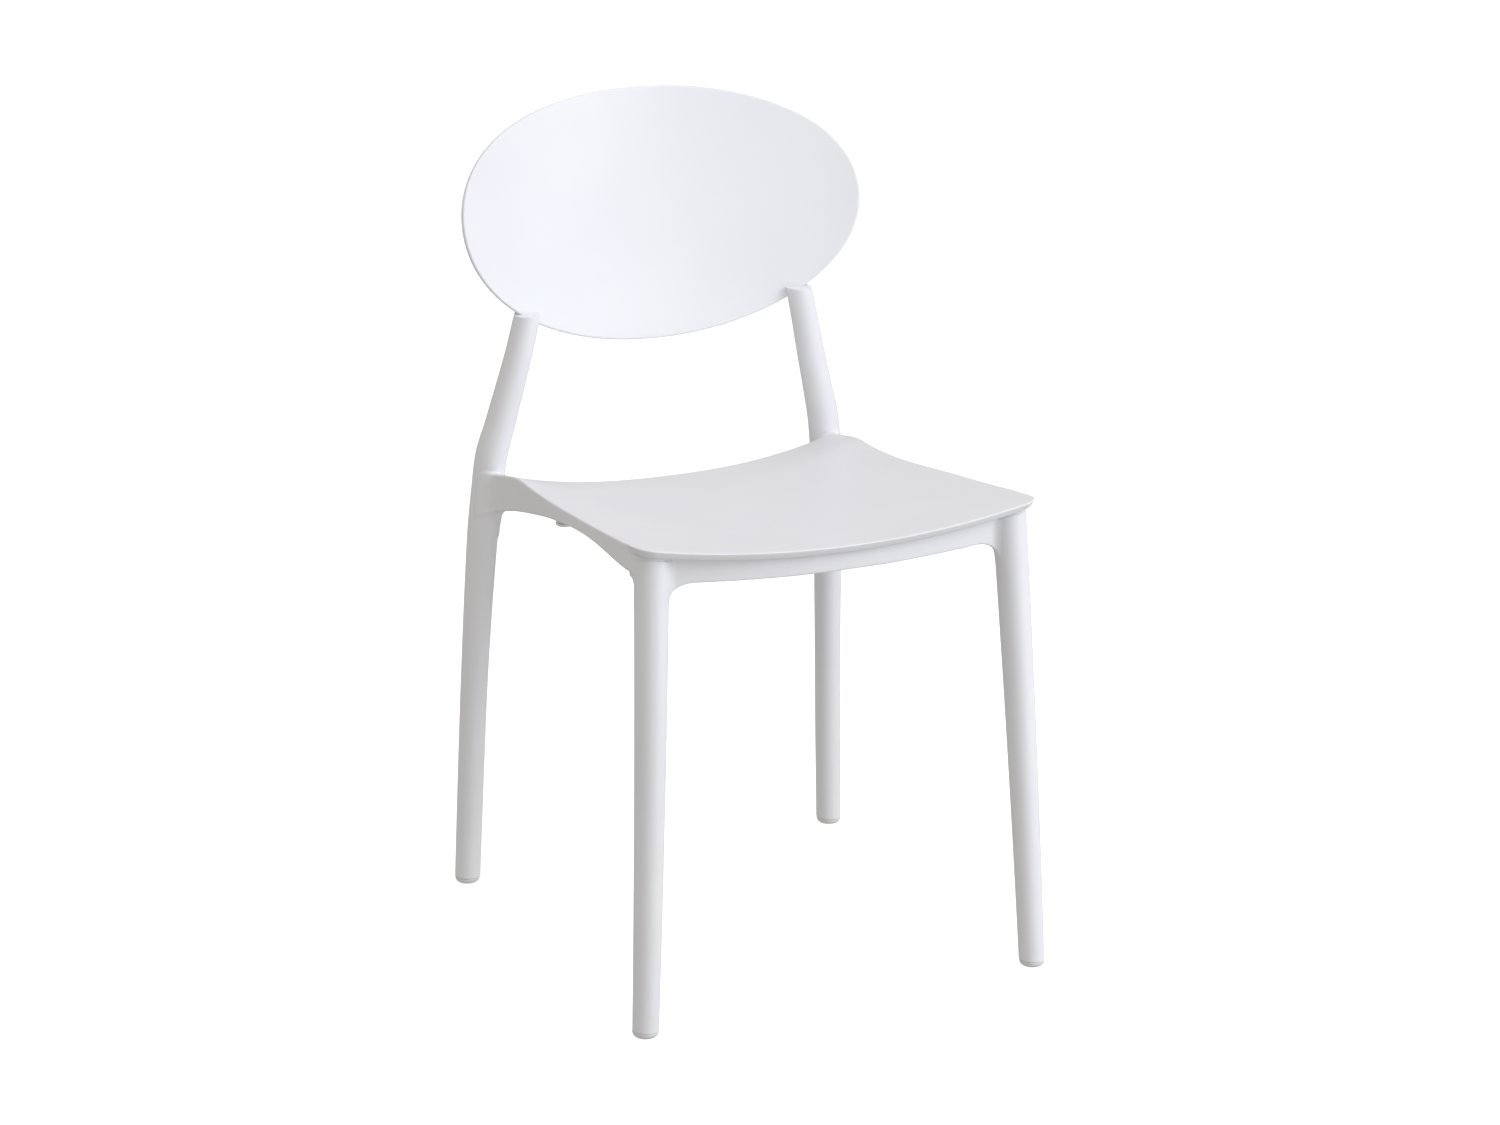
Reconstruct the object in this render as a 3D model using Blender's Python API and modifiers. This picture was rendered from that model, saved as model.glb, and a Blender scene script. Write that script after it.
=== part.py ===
"""Stacking chair: a saddle-shaped seat moulding, four round tapered legs and an oval back panel.

The rear legs bend inwards above the seat and carry the back panel on two flat tongues.
Metres, +Z up, +X to the right seen from the front, and the front of the chair faces -Y.
Stations along Y are counted from the middle between the front and the rear feet, and the
empty that carries every piece moves them all by FRAME_SHIFT_Y, to centre the whole chair.
"""

import math

import bmesh
import bpy
from mathutils import Matrix, Vector

# Whole chair
FRAME_SHIFT_Y = -0.02365
GAP = 0.0003
OVERRUN = 0.010
SIDES = {"left": -1, "right": 1}

# Front legs: the axis leans in and back as it rises, with a slight bow
FRONT_FOOT = (0.2097, -0.2140)
FRONT_LEAN_IN = 0.0455
FRONT_LEAN_BACK = 0.070
FRONT_BOW = 0.0464
FRONT_FOOT_RADIUS = 0.0126
FRONT_TAPER = 0.0087
FRONT_TOP_Z = 0.4605

# Rear legs, from the foot up to the panel: height, half spacing, station, radius
REAR_STATIONS = (
    (0.000, 0.2090, 0.2147, 0.0130),
    (0.120, 0.2049, 0.2147, 0.0134),
    (0.240, 0.2007, 0.2128, 0.0139),
    (0.370, 0.1948, 0.2078, 0.0155),
    (0.420, 0.1900, 0.2063, 0.0161),
    (0.455, 0.1857, 0.2055, 0.0161),
    (0.485, 0.1780, 0.2032, 0.0152),
    (0.530, 0.1663, 0.2003, 0.0142),
    (0.560, 0.1589, 0.1984, 0.0136),
    (0.585, 0.1531, 0.1979, 0.0133),
)
SHOULDER_Z = 0.583
TONGUE_TOP_Z = 0.668
TONGUE_TOP_X = 0.1415
TONGUE_RADIUS = 0.0128
TONGUE_END = 0.012
TONGUE_BLEND = 0.050

# Hollow of the legs, and the glides that close it
LEG_START_Z = -0.02
FOOT_CUT_Z = 0.0063
LEG_WALL = 0.0045
BORE_BOTTOM_Z = 0.030
BORE_TOP_Z = 0.370
GLIDE_HEIGHT = 0.0060
GLIDE_RADIUS = 0.0126
GLIDE_EDGE = 0.0050
PLUG_RADIUS = 0.0070
PLUG_TOP_Z = 0.030

# Seat: half width, edge height and lower edge of the side rails along Y
SEAT_EDGE = (
    (-0.230, 0.2105, 0.4735),
    (-0.165, 0.2110, 0.4680),
    (-0.100, 0.2062, 0.4619),
    (-0.040, 0.2014, 0.4559),
    (0.020, 0.1955, 0.4509),
    (0.080, 0.1910, 0.4469),
    (0.140, 0.1900, 0.4450),
    (0.210, 0.1900, 0.4400),
)
RAIL_BOTTOM = (
    (-0.175, 0.4290),
    (-0.167, 0.4364),
    (-0.160, 0.4415),
    (-0.145, 0.4437),
    (-0.050, 0.4445),
    (0.042, 0.4327),
    (0.102, 0.4215),
    (0.143, 0.4128),
    (0.175, 0.4035),
    (0.204, 0.3930),
)
SEAT_FRONT_Y = -0.2060
SEAT_FRONT_BOW = 0.22
SEAT_CORNER_RADIUS = 0.020
SEAT_REAR_Y = 0.2060
SEAT_ROLL_RADIUS = 0.018
SEAT_FRONT_CENTRE_Z = 0.4545
SEAT_FALL = 0.0927
SEAT_DISH = 0.004
REAR_FLAT_SHARE = 0.33
REAR_CREST_SHARE = 0.93
REAR_ROLL_OFF = 0.12
SEAT_THICKNESS = 0.0045
WALL_THICKNESS = 0.0040
LIP_RADIUS = 0.0037
LIP_HALF = 0.193
LIP_INSET = 0.0003
RAIL_INSET = 0.0005
REAR_APRON_BOTTOM_Z = 0.396
FRONT_BLOCK_BOTTOM_Z = 0.4325
REAR_BLOCK_BOTTOM_Z = 0.4015

# Corner blocks in plan: distances inwards from the leg's axis, across and along the chair
FRONT_BLOCK = (
    (-0.0135, -0.0020),
    (0.0225, -0.0020),
    (0.0225, 0.0100),
    (0.0100, 0.0225),
    (-0.0135, 0.0225),
)
REAR_BLOCK = (
    (0.0015, 0.0075),
    (0.0235, 0.0075),
    (0.0235, 0.0120),
    (0.0120, 0.0235),
    (0.0015, 0.0235),
)

# Front apron, bowed forwards in the middle
APRON_Y = -0.178
APRON_BOW = 0.015
APRON_HALF = 0.176
APRON_CENTRE_Z = 0.4252
APRON_END_Z = 0.4300
APRON_FILLET = 0.018

# Ribs under the seat
RIB_THICKNESS = 0.0028
WELD_DEPTH = 0.0020
RIB_DEPTH = 0.0105
CROSS_RIB_DEPTH = 0.0075
RIB_X = 0.070
RIB_Y = (-0.070, 0.060)
RIB_ENDS = (-0.186, 0.200)

# Stacking bumpers
BUMPER_PLACE = (0.1845, 0.033)
BUMPER_RADIUS = 0.008
BUMPER_STEM_RADIUS = 0.0030
BUMPER_BOTTOM_Z = 0.4275
BUMPER_HEAD_HEIGHT = 0.0042
BUMPER_STEM_HEIGHT = 0.006
BUMPER_RIM = 0.0012
BUMPER_BOSS_TOP_Z = 0.4455

# Back panel: an oval sheet that curves round the sitter and leans back
PANEL_CENTRE = (0.241, 0.677)
PANEL_HALF_WIDTH = 0.2242
PANEL_HALF_HEIGHT = 0.1264
PANEL_LEAN = math.radians(13.23)
PANEL_CURVATURE = 1.832
PANEL_POWER = 2.04
PANEL_EGG = 0.026
PANEL_THICKNESS = 0.0044
PANEL_EDGE = 0.0016
PANEL_RINGS = 5
PANEL_SPOKES = 44

# Fasteners
SCREW_RADIUS = 0.0030
SCREW_HEAD_RADIUS = 0.00525
SCREW_HEAD_HEIGHT = 0.0033
SCREW_LENGTH = 0.0245
HEX_RADIUS = 0.0023
INSERT_RADIUS = 0.0045
INSERT_LENGTH = 0.0120
INSERT_START = 0.0035
INSERT_BEVEL = 0.0005
HOLE_MOUTH = 0.022
WAY_END = 0.032
FRONT_SCREW_Z = (0.4385, 0.4500)
REAR_SCREW_Z = (0.4085, 0.4265)
FRONT_PAD = 0.0230
REAR_PAD = 0.0251
BACK_SCREW_RADIUS = 0.0023
BACK_SCREW_LENGTH = 0.0085
BACK_HEX_RADIUS = 0.0012
BACK_HEAD_RADIUS = 0.0045
BACK_HEAD_HEIGHT = 0.0024
BACK_HEAD_SEAT = -0.0068
BACK_SCREW_V = (-0.0620, -0.0300)
BOSS_RADIUS = 0.0055
BOSS_HEIGHT = 0.0035
BOSS_HOLE_DEPTH = 0.0028

COLOURS = {
    "plastic": ((0.86, 0.87, 0.88, 1), 0.35, 0.0),
    "glide": ((0.80, 0.81, 0.82, 1), 0.45, 0.0),
    "rubber": ((0.78, 0.78, 0.78, 1), 0.70, 0.0),
    "steel": ((0.62, 0.63, 0.65, 1), 0.30, 1.0),
    "brass": ((0.72, 0.56, 0.28, 1), 0.30, 1.0),
}


# Scene and objects

def clear_scene():
    for obj in list(bpy.data.objects):
        bpy.data.objects.remove(obj)


def new_collection(name):
    collection = bpy.data.collections.new(name)
    bpy.context.scene.collection.children.link(collection)
    return collection


def material(name):
    found = bpy.data.materials.get(name)
    if found:
        return found
    colour, roughness, metallic = COLOURS[name]
    made = bpy.data.materials.new(name)
    made.use_nodes = True
    shader = made.node_tree.nodes["Principled BSDF"]
    shader.inputs["Base Color"].default_value = colour
    shader.inputs["Roughness"].default_value = roughness
    shader.inputs["Metallic"].default_value = metallic
    return made


def place(obj, collection, matrix=None):
    """Links an object, stands it in the chair's frame and parents it to the carrier."""
    for held in list(obj.users_collection):
        held.objects.unlink(obj)
    collection.objects.link(obj)
    obj.parent = CARRIER
    if matrix is not None:
        obj.matrix_basis = matrix
    return obj


def finish_part(obj, finish):
    """Gives a part its material and smooth round faces."""
    obj.data.materials.clear()
    obj.data.materials.append(material(finish))
    obj.data.shade_smooth()
    obj.data.set_sharp_from_angle(angle=math.radians(35))
    return place(obj, PARTS, obj.matrix_basis.copy())


def tool(obj):
    """Marks an object as a cutter or a block to be joined."""
    obj.hide_render = True
    obj.display_type = "WIRE"
    return place(obj, TOOLS, obj.matrix_basis.copy())


def close_mesh(mesh, lift=0.0):
    """Welds a mesh's seams and turns its faces outwards, raised by lift."""
    bm = bmesh.new()
    bm.from_mesh(mesh)
    bmesh.ops.translate(bm, verts=bm.verts, vec=(0, 0, lift))
    bmesh.ops.remove_doubles(bm, verts=bm.verts, dist=1e-6)
    bmesh.ops.recalc_face_normals(bm, faces=bm.faces)
    bm.to_mesh(mesh)
    bm.free()
    return mesh


def mesh_object(name, build):
    """An object whose mesh is filled by build(bm)."""
    bm = bmesh.new()
    build(bm)
    mesh = bpy.data.meshes.new(name)
    bm.to_mesh(mesh)
    bm.free()
    return place(bpy.data.objects.new(name, close_mesh(mesh)), TOOLS)


def mesh_from_curve(name, curve, lift=0.0):
    """A closed mesh object from a curve that was filled or bevelled."""
    holder = place(bpy.data.objects.new(name + "_curve", curve), TOOLS)
    bpy.context.view_layer.update()
    evaluated = holder.evaluated_get(bpy.context.evaluated_depsgraph_get())
    mesh = bpy.data.meshes.new_from_object(evaluated)
    bpy.data.objects.remove(holder)
    return place(bpy.data.objects.new(name, close_mesh(mesh, lift)), TOOLS)


def apply_modifiers(obj):
    """Replaces the mesh by the evaluated one and drops the modifiers."""
    bpy.context.view_layer.update()
    evaluated = obj.evaluated_get(bpy.context.evaluated_depsgraph_get())
    mesh = bpy.data.meshes.new_from_object(evaluated)
    obj.modifiers.clear()
    obj.data = mesh
    mesh.name = obj.name
    return obj


def combine(target, tools, operation):
    """Joins tools to the target, or cuts them out of it."""
    for other in tools:
        modifier = target.modifiers.new(operation.lower(), "BOOLEAN")
        modifier.operation = operation
        modifier.solver = "EXACT"
        modifier.object = tool(other)
    return apply_modifiers(target)


def solidify(obj, thickness, offset):
    modifier = obj.modifiers.new("solidify", "SOLIDIFY")
    modifier.thickness = thickness
    modifier.offset = offset
    modifier.use_even_offset = True
    return apply_modifiers(obj)


# Numbers along a curve

def interpolate(table, at, column):
    """A smooth value through the rows of a table, by Catmull-Rom slopes."""
    if at <= table[0][0]:
        return table[0][column]
    if at >= table[-1][0]:
        return table[-1][column]
    i = max(k for k in range(len(table) - 1) if table[k][0] <= at)

    def slope(k):
        low, high = max(k - 1, 0), min(k + 1, len(table) - 1)
        return (table[high][column] - table[low][column]) / (table[high][0] - table[low][0])

    start, end = table[i], table[i + 1]
    span = end[0] - start[0]
    t = (at - start[0]) / span
    return (
        (2 * t**3 - 3 * t**2 + 1) * start[column]
        + (t**3 - 2 * t**2 + t) * span * slope(i)
        + (3 * t**2 - 2 * t**3) * end[column]
        + (t**3 - t**2) * span * slope(i + 1)
    )


def smoothstep(t):
    t = min(max(t, 0.0), 1.0)
    return t * t * (3 - 2 * t)


def spread(low, high, count):
    """count + 1 even values from low to high."""
    return [low + (high - low) * i / count for i in range(count + 1)]


# Tubes and turned pieces

def tube(name, points, radii, resolution=6):
    """A round tube through points with a radius at each, as a closed mesh."""
    curve = bpy.data.curves.new(name, "CURVE")
    curve.dimensions = "3D"
    curve.bevel_depth = 1.0
    curve.bevel_resolution = resolution
    curve.use_fill_caps = True
    spline = curve.splines.new("POLY")
    spline.points.add(len(points) - 1)
    for handle, point, radius in zip(spline.points, points, radii):
        handle.co = (*point, 1)
        handle.radius = radius
    return mesh_from_curve(name, curve)


def turned(name, profile, steps):
    """A solid of revolution about Z from a profile that runs from top to bottom."""
    bm = bmesh.new()
    verts = [bm.verts.new((radius, 0, height)) for radius, height in profile]
    for start, end in zip(verts, verts[1:]):
        bm.edges.new((start, end))
    mesh = bpy.data.meshes.new(name)
    bm.to_mesh(mesh)
    bm.free()
    obj = place(bpy.data.objects.new(name, mesh), TOOLS)
    modifier = obj.modifiers.new("turn", "SCREW")
    modifier.steps = steps
    modifier.render_steps = steps
    modifier.use_merge_vertices = True
    modifier.merge_threshold = 0.00001
    modifier.use_normal_calculate = True
    apply_modifiers(obj)
    close_mesh(obj.data)
    return obj


def cylinder(name, radius, low, high, matrix, segments=16):
    """A cylinder from height low to high in the frame that matrix gives."""
    def build(bm):
        bmesh.ops.create_cone(
            bm,
            cap_ends=True,
            segments=segments,
            radius1=radius,
            radius2=radius,
            depth=high - low,
            matrix=Matrix.Translation((0, 0, (low + high) / 2)),
        )

    obj = mesh_object(name, build)
    obj.matrix_basis = matrix
    return obj


def prism(name, outline, low, high):
    """An upright prism over a flat outline of (x, y) points."""
    curve = bpy.data.curves.new(name, "CURVE")
    curve.dimensions = "2D"
    curve.fill_mode = "BOTH"
    curve.extrude = (high - low) / 2
    spline = curve.splines.new("POLY")
    spline.points.add(len(outline) - 1)
    for handle, point in zip(spline.points, outline):
        handle.co = (point[0], point[1], 0, 1)
    spline.use_cyclic_u = True
    return mesh_from_curve(name, curve, (low + high) / 2)


def frame_along(origin, direction):
    """A frame at origin whose Z runs along direction."""
    return Matrix.Translation(origin) @ direction.to_track_quat("Z", "Y").to_matrix().to_4x4()


# Back panel surface

def panel_point(u, v, behind=0.0):
    """A point of the panel: u along its curve, v up its slope, behind its front face."""
    turn = PANEL_CURVATURE * u
    lean = PANEL_LEAN
    forward = (1 - math.cos(turn)) / PANEL_CURVATURE
    point = Vector((math.sin(turn) / PANEL_CURVATURE, PANEL_CENTRE[0], PANEL_CENTRE[1]))
    point += v * Vector((0, math.sin(lean), math.cos(lean)))
    point += forward * Vector((0, -math.cos(lean), math.sin(lean)))
    return point - behind * panel_normal(u)


def panel_normal(u):
    """The panel's front normal."""
    turn = PANEL_CURVATURE * u
    forward = Vector((0, -math.cos(PANEL_LEAN), math.sin(PANEL_LEAN)))
    return math.cos(turn) * forward - math.sin(turn) * Vector((1, 0, 0))


def panel_at(x, z):
    """u and v of the panel's front face at a spacing and a height."""
    u = math.asin(x * PANEL_CURVATURE) / PANEL_CURVATURE
    forward = (1 - math.cos(PANEL_CURVATURE * u)) / PANEL_CURVATURE
    v = (z - PANEL_CENTRE[1] - forward * math.sin(PANEL_LEAN)) / math.cos(PANEL_LEAN)
    return u, v


def make_backrest():
    def build(bm):
        rings = [[bm.verts.new(panel_point(0, 0))]]
        for ring in range(1, PANEL_RINGS + 1):
            share = (ring / PANEL_RINGS) ** 0.8
            verts = []
            for spoke in range(PANEL_SPOKES):
                angle = 2 * math.pi * spoke / PANEL_SPOKES
                c, s = math.cos(angle), math.sin(angle)
                u = PANEL_HALF_WIDTH * math.copysign(abs(c) ** (2 / PANEL_POWER), c)
                v = PANEL_HALF_HEIGHT * math.copysign(abs(s) ** (2 / PANEL_POWER), s)
                u *= 1 + PANEL_EGG * v / PANEL_HALF_HEIGHT
                verts.append(bm.verts.new(panel_point(u * share, v * share)))
            rings.append(verts)
        for inner, outer in zip(rings, rings[1:]):
            for i in range(PANEL_SPOKES):
                j = (i + 1) % PANEL_SPOKES
                if len(inner) == 1:
                    bm.faces.new((inner[0], outer[i], outer[j]))
                else:
                    bm.faces.new((inner[i], outer[i], outer[j], inner[j]))

    panel = mesh_object("backrest", build)
    front = panel.data.polygons[0].normal.dot(panel_normal(0)) > 0
    solidify(panel, PANEL_THICKNESS, -1 if front else 1)
    edge = panel.modifiers.new("edge", "BEVEL")
    edge.width = PANEL_EDGE
    edge.segments = 2
    edge.limit_method = "ANGLE"
    apply_modifiers(panel)
    bosses, holes = [], []
    for side, sign in SIDES.items():
        for number, v in enumerate(BACK_SCREW_V, 1):
            frame = back_screw_frame(sign, v)
            name = f"{side}_{number}"
            bosses.append(
                cylinder("boss_" + name, BOSS_RADIUS, -BOSS_HEIGHT, WELD_DEPTH, frame)
            )
            bore = BACK_SCREW_RADIUS + GAP
            holes.append(
                cylinder("boss_hole_" + name, bore, -OVERRUN, BOSS_HOLE_DEPTH, frame, 12)
            )
    combine(panel, bosses, "UNION")
    combine(panel, holes, "DIFFERENCE")
    return finish_part(panel, "plastic")


def tongue_x(z):
    """Half spacing of the tongues behind the panel."""
    share = (z - REAR_STATIONS[-1][0]) / (TONGUE_TOP_Z - REAR_STATIONS[-1][0])
    start = REAR_STATIONS[-1][1]
    return start + (TONGUE_TOP_X - start) * (1 - (1 - share) ** 1.6)


def back_screw_frame(sign, v):
    """A frame on the panel's back face, with Z towards the sitter."""
    height = PANEL_CENTRE[1] + v * math.cos(PANEL_LEAN)
    u, _ = panel_at(tongue_x(height), height)
    u *= sign
    return frame_along(panel_point(u, v, PANEL_THICKNESS), panel_normal(u))


# Legs

def front_axis(z):
    x = FRONT_FOOT[0] - FRONT_LEAN_IN * z
    y = FRONT_FOOT[1] + FRONT_LEAN_BACK * z + FRONT_BOW * z * z
    return x, y, FRONT_FOOT_RADIUS + FRONT_TAPER * z


def rear_axis(z):
    if z <= REAR_STATIONS[-1][0]:
        return tuple(interpolate(REAR_STATIONS, z, column) for column in (1, 2, 3))
    x = tongue_x(z)
    start = REAR_STATIONS[-1]
    set_back = start[2] - panel_point(*panel_at(start[1], start[0])).y
    set_back *= 1 - smoothstep((z - start[0]) / TONGUE_BLEND)
    return x, panel_point(*panel_at(x, z)).y + set_back, TONGUE_RADIUS


def leg_tube(name, sign, axis, heights, grow=0.0, resolution=6):
    """A tube along a leg's axis. Positive grow makes it thicker than the leg."""
    points, radii = [], []
    for z in heights:
        x, y, radius = axis(z)
        points.append((sign * x, y, z))
        radii.append(radius + grow)
    return tube(name, points, radii, resolution)


def front_leg_body(name, sign, grow=0.0):
    """A front leg, or with grow the room that it needs."""
    heights = spread(LEG_START_Z, FRONT_TOP_Z, 8)
    if grow:
        heights.append(FRONT_TOP_Z + grow)
    return leg_tube(name, sign, front_axis, heights, grow)


def rear_leg_body(name, sign, grow=0.0):
    """A rear leg with its upright and round-ended tongue, or with grow its room."""
    bend, top = REAR_STATIONS[4][0], REAR_STATIONS[-1][0]
    heights = [LEG_START_Z, FOOT_CUT_Z] + spread(0.05, 0.40, 6) + spread(bend, top, 8)
    heights += spread(top + 0.015, TONGUE_TOP_Z - TONGUE_END, 3)
    points = [(sign * rear_axis(z)[0], rear_axis(z)[1], z) for z in heights]
    radii = [rear_axis(z)[2] + grow for z in heights]
    for angle in (35, 65, 85):
        turn = math.radians(angle)
        z = TONGUE_TOP_Z - TONGUE_END * (1 - math.sin(turn))
        x, y, radius = rear_axis(z)
        points.append((sign * x, y, z))
        radii.append(radius * math.cos(turn) + grow)
    return tube(name, points, radii)


def cut_below(obj, height):
    """Removes what is below a height and closes the cut."""
    bm = bmesh.new()
    bm.from_mesh(obj.data)
    everything = bm.verts[:] + bm.edges[:] + bm.faces[:]
    cut = bmesh.ops.bisect_plane(
        bm, geom=everything, plane_co=(0, 0, height), plane_no=(0, 0, 1), clear_inner=True
    )
    rim = [e for e in cut["geom_cut"] if isinstance(e, bmesh.types.BMEdge)]
    bmesh.ops.contextual_create(bm, geom=rim)
    bmesh.ops.recalc_face_normals(bm, faces=bm.faces)
    bm.to_mesh(obj.data)
    bm.free()
    return obj


def foot_bores(name, sign, axis):
    """The hollow of a leg and the straight hole for its glide's plug."""
    heights = spread(BORE_BOTTOM_Z, BORE_TOP_Z, 5)
    hollow = leg_tube(name + "_bore", sign, axis, heights, -LEG_WALL, 3)
    x, y, _ = axis(0)
    plug = cylinder(
        name + "_plug_hole",
        PLUG_RADIUS + GAP,
        -OVERRUN,
        PLUG_TOP_Z + PLUG_RADIUS / 2,
        Matrix.Translation((sign * x, y, 0)),
    )
    return [hollow, plug]


def screw_frame(sign, axis, z, rear):
    """A frame at a leg's axis, with Z along the screw, out to the middle of the seat."""
    x, y, _ = axis(z)
    inward = Vector((-sign, -1 if rear else 1, 0)).normalized()
    return frame_along((sign * x, y, z), inward)


def pad_distance(axis, z, rear):
    """Distance from a leg's axis at height z to the flat that its screw's head bears on."""
    level = REAR_SCREW_Z[1] if rear else FRONT_SCREW_Z[0]
    pad = REAR_PAD if rear else FRONT_PAD
    back = -1 if rear else 1
    across = axis(z)[0] - axis(level)[0]
    deep = back * (axis(level)[1] - axis(z)[1])
    return pad + (across + deep) / math.sqrt(2)


def leg_screw_holes(name, sign, axis, heights, rear):
    holes = []
    for number, z in enumerate(heights, 1):
        frame = screw_frame(sign, axis, z, rear)
        label = f"{name}_{number}"
        outer, bore = INSERT_RADIUS + GAP, SCREW_RADIUS + GAP
        holes.append(
            cylinder(label + "_seat", outer, INSERT_START - GAP, HOLE_MOUTH, frame, 14)
        )
        holes.append(cylinder(label + "_tip", bore, -SCREW_RADIUS, HOLE_MOUTH, frame, 12))
    return holes


def make_front_leg(side, sign):
    leg = cut_below(front_leg_body("front_leg_" + side, sign), FOOT_CUT_Z)
    name = "front_" + side
    combine(leg, foot_bores(name, sign, front_axis), "DIFFERENCE")
    holes = leg_screw_holes(name, sign, front_axis, FRONT_SCREW_Z, False)
    combine(leg, holes, "DIFFERENCE")
    return finish_part(leg, "plastic")


def notch_cutter(side, sign):
    """Everything in front of the panel's back face and above the shoulder."""
    def build(bm):
        rows = []
        for u in spread(0.10, 0.20, 6):
            pair = []
            for behind in (PANEL_THICKNESS + GAP, -3 * TONGUE_RADIUS):
                for z in (SHOULDER_Z, TONGUE_TOP_Z + 2 * TONGUE_RADIUS):
                    foot = panel_point(sign * u, 0, behind)
                    v = (z - foot.z) / math.cos(PANEL_LEAN)
                    pair.append(bm.verts.new(panel_point(sign * u, v, behind)))
            rows.append(pair)
        for a, b in zip(rows, rows[1:]):
            for i, j in ((0, 1), (1, 3), (3, 2), (2, 0)):
                bm.faces.new((a[i], a[j], b[j], b[i]))
        for end in (rows[0], rows[-1]):
            bm.faces.new((end[0], end[1], end[3], end[2]))

    return mesh_object("notch_" + side, build)


def make_rear_leg(side, sign):
    leg = cut_below(rear_leg_body("rear_leg_" + side, sign), FOOT_CUT_Z)
    name = "rear_" + side
    combine(leg, [notch_cutter(side, sign)], "DIFFERENCE")
    combine(leg, foot_bores(name, sign, rear_axis), "DIFFERENCE")
    holes = leg_screw_holes(name, sign, rear_axis, REAR_SCREW_Z, True)
    for number, v in enumerate(BACK_SCREW_V, 1):
        frame = back_screw_frame(sign, v)
        label = f"{name}_back_{number}"
        far = -2 * OVERRUN
        boss, bore, head = BOSS_RADIUS + GAP, BACK_SCREW_RADIUS + GAP, BACK_HEAD_RADIUS + GAP
        holes.append(cylinder(label + "_boss", boss, -BOSS_HEIGHT - GAP, OVERRUN, frame))
        holes.append(cylinder(label + "_shank", bore, far, 0, frame, 12))
        holes.append(cylinder(label + "_head", head, far, BACK_HEAD_SEAT, frame))
    combine(leg, holes, "DIFFERENCE")
    return finish_part(leg, "plastic")


# Seat

def edge_x(y):
    return interpolate(SEAT_EDGE, y, 1)


def seat_z(x, y):
    """Height of the seat's top: a saddle, with a flat middle between raised rear corners."""
    along = y - SEAT_FRONT_Y
    length = SEAT_REAR_Y - SEAT_FRONT_Y
    centre = SEAT_FRONT_CENTRE_Z - SEAT_FALL * along
    centre -= SEAT_DISH * math.sin(math.pi * min(max(along / length, 0), 1))
    across = abs(x) / edge_x(y)
    rear = smoothstep((across - REAR_FLAT_SHARE) / (REAR_CREST_SHARE - REAR_FLAT_SHARE))
    rear -= REAR_ROLL_OFF * smoothstep((across - 0.90) / 0.10)
    blend = smoothstep((y + 0.05) / 0.20)
    rise = interpolate(SEAT_EDGE, y, 2) - centre
    return centre + rise * ((1 - blend) * across**2 + blend * rear)


def roof_z(x, y):
    """Height of the seat's top with the roll along its rear edge."""
    reach = max(y - (SEAT_REAR_Y - SEAT_ROLL_RADIUS), 0)
    drop = SEAT_ROLL_RADIUS - math.sqrt(max(SEAT_ROLL_RADIUS**2 - reach**2, 0))
    return seat_z(x, y) - drop


def seat_outline():
    """The seat's plan outline, from the rear right round the front to the rear left."""
    corner = edge_x(-0.18) - SEAT_CORNER_RADIUS
    middle = SEAT_FRONT_Y + SEAT_FRONT_BOW * corner**2 + SEAT_CORNER_RADIUS
    half = [(edge_x(y), y) for y in spread(0.24, -0.17, 14)]
    for angle in spread(0, 90, 6):
        turn = math.radians(angle)
        half.append(
            (
                corner + SEAT_CORNER_RADIUS * math.cos(turn),
                middle - SEAT_CORNER_RADIUS * math.sin(turn),
            )
        )
    for x in spread(corner, 0, 8)[1:]:
        half.append((x, SEAT_FRONT_Y + SEAT_FRONT_BOW * x * x))
    return half + [(-x, y) for x, y in reversed(half[:-1])]


def seat_top():
    """The top sheet with its rolled rear edge and rear apron, before it is trimmed."""
    rows = []
    for y in spread(-0.222, SEAT_REAR_Y - SEAT_ROLL_RADIUS, 16):
        rows.append((y, 0.0, None))
    for angle in spread(0, 90, 4)[1:]:
        turn = math.radians(angle)
        y = SEAT_REAR_Y - SEAT_ROLL_RADIUS * (1 - math.sin(turn))
        rows.append((y, SEAT_ROLL_RADIUS * (1 - math.cos(turn)), None))
    rows.append((SEAT_REAR_Y, 0.0, REAR_APRON_BOTTOM_Z))

    def build(bm):
        grid = []
        for y, drop, height in rows:
            line = []
            for x in spread(-0.222, 0.222, 22):
                z = height if height else seat_z(x, y) - drop
                line.append(bm.verts.new((x, y, z)))
            grid.append(line)
        for a, b in zip(grid, grid[1:]):
            for i in range(len(a) - 1):
                bm.faces.new((a[i], b[i], b[i + 1], a[i + 1]))

    sheet = mesh_object("seat_shell", build)
    upward = sheet.data.polygons[0].normal.z > 0
    return solidify(sheet, SEAT_THICKNESS, -1 if upward else 1)


def ribbon(name, stations, thickness, inward):
    """An upright wall along stations of (x, y, top, bottom), thickened to the inner side."""
    def build(bm):
        pairs = [
            (bm.verts.new((x, y, top)), bm.verts.new((x, y, bottom)))
            for x, y, top, bottom in stations
        ]
        for (a, b), (c, d) in zip(pairs, pairs[1:]):
            bm.faces.new((a, b, d, c))

    wall = mesh_object(name, build)
    faces_in = wall.data.polygons[len(stations) // 2].normal.dot(inward) > 0
    return solidify(wall, thickness, 1 if faces_in else -1)


def side_rail(side, sign):
    stations = []
    places = [y for y, _ in RAIL_BOTTOM] + spread(-0.12, 0.02, 5)
    for y in sorted(places):
        x = edge_x(y) - RAIL_INSET
        top = roof_z(x, y) - WELD_DEPTH
        stations.append((sign * x, y, top, interpolate(RAIL_BOTTOM, y, 1)))
    return ribbon("rail_" + side, stations, WALL_THICKNESS, Vector((-sign, 0, 0)))


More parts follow.
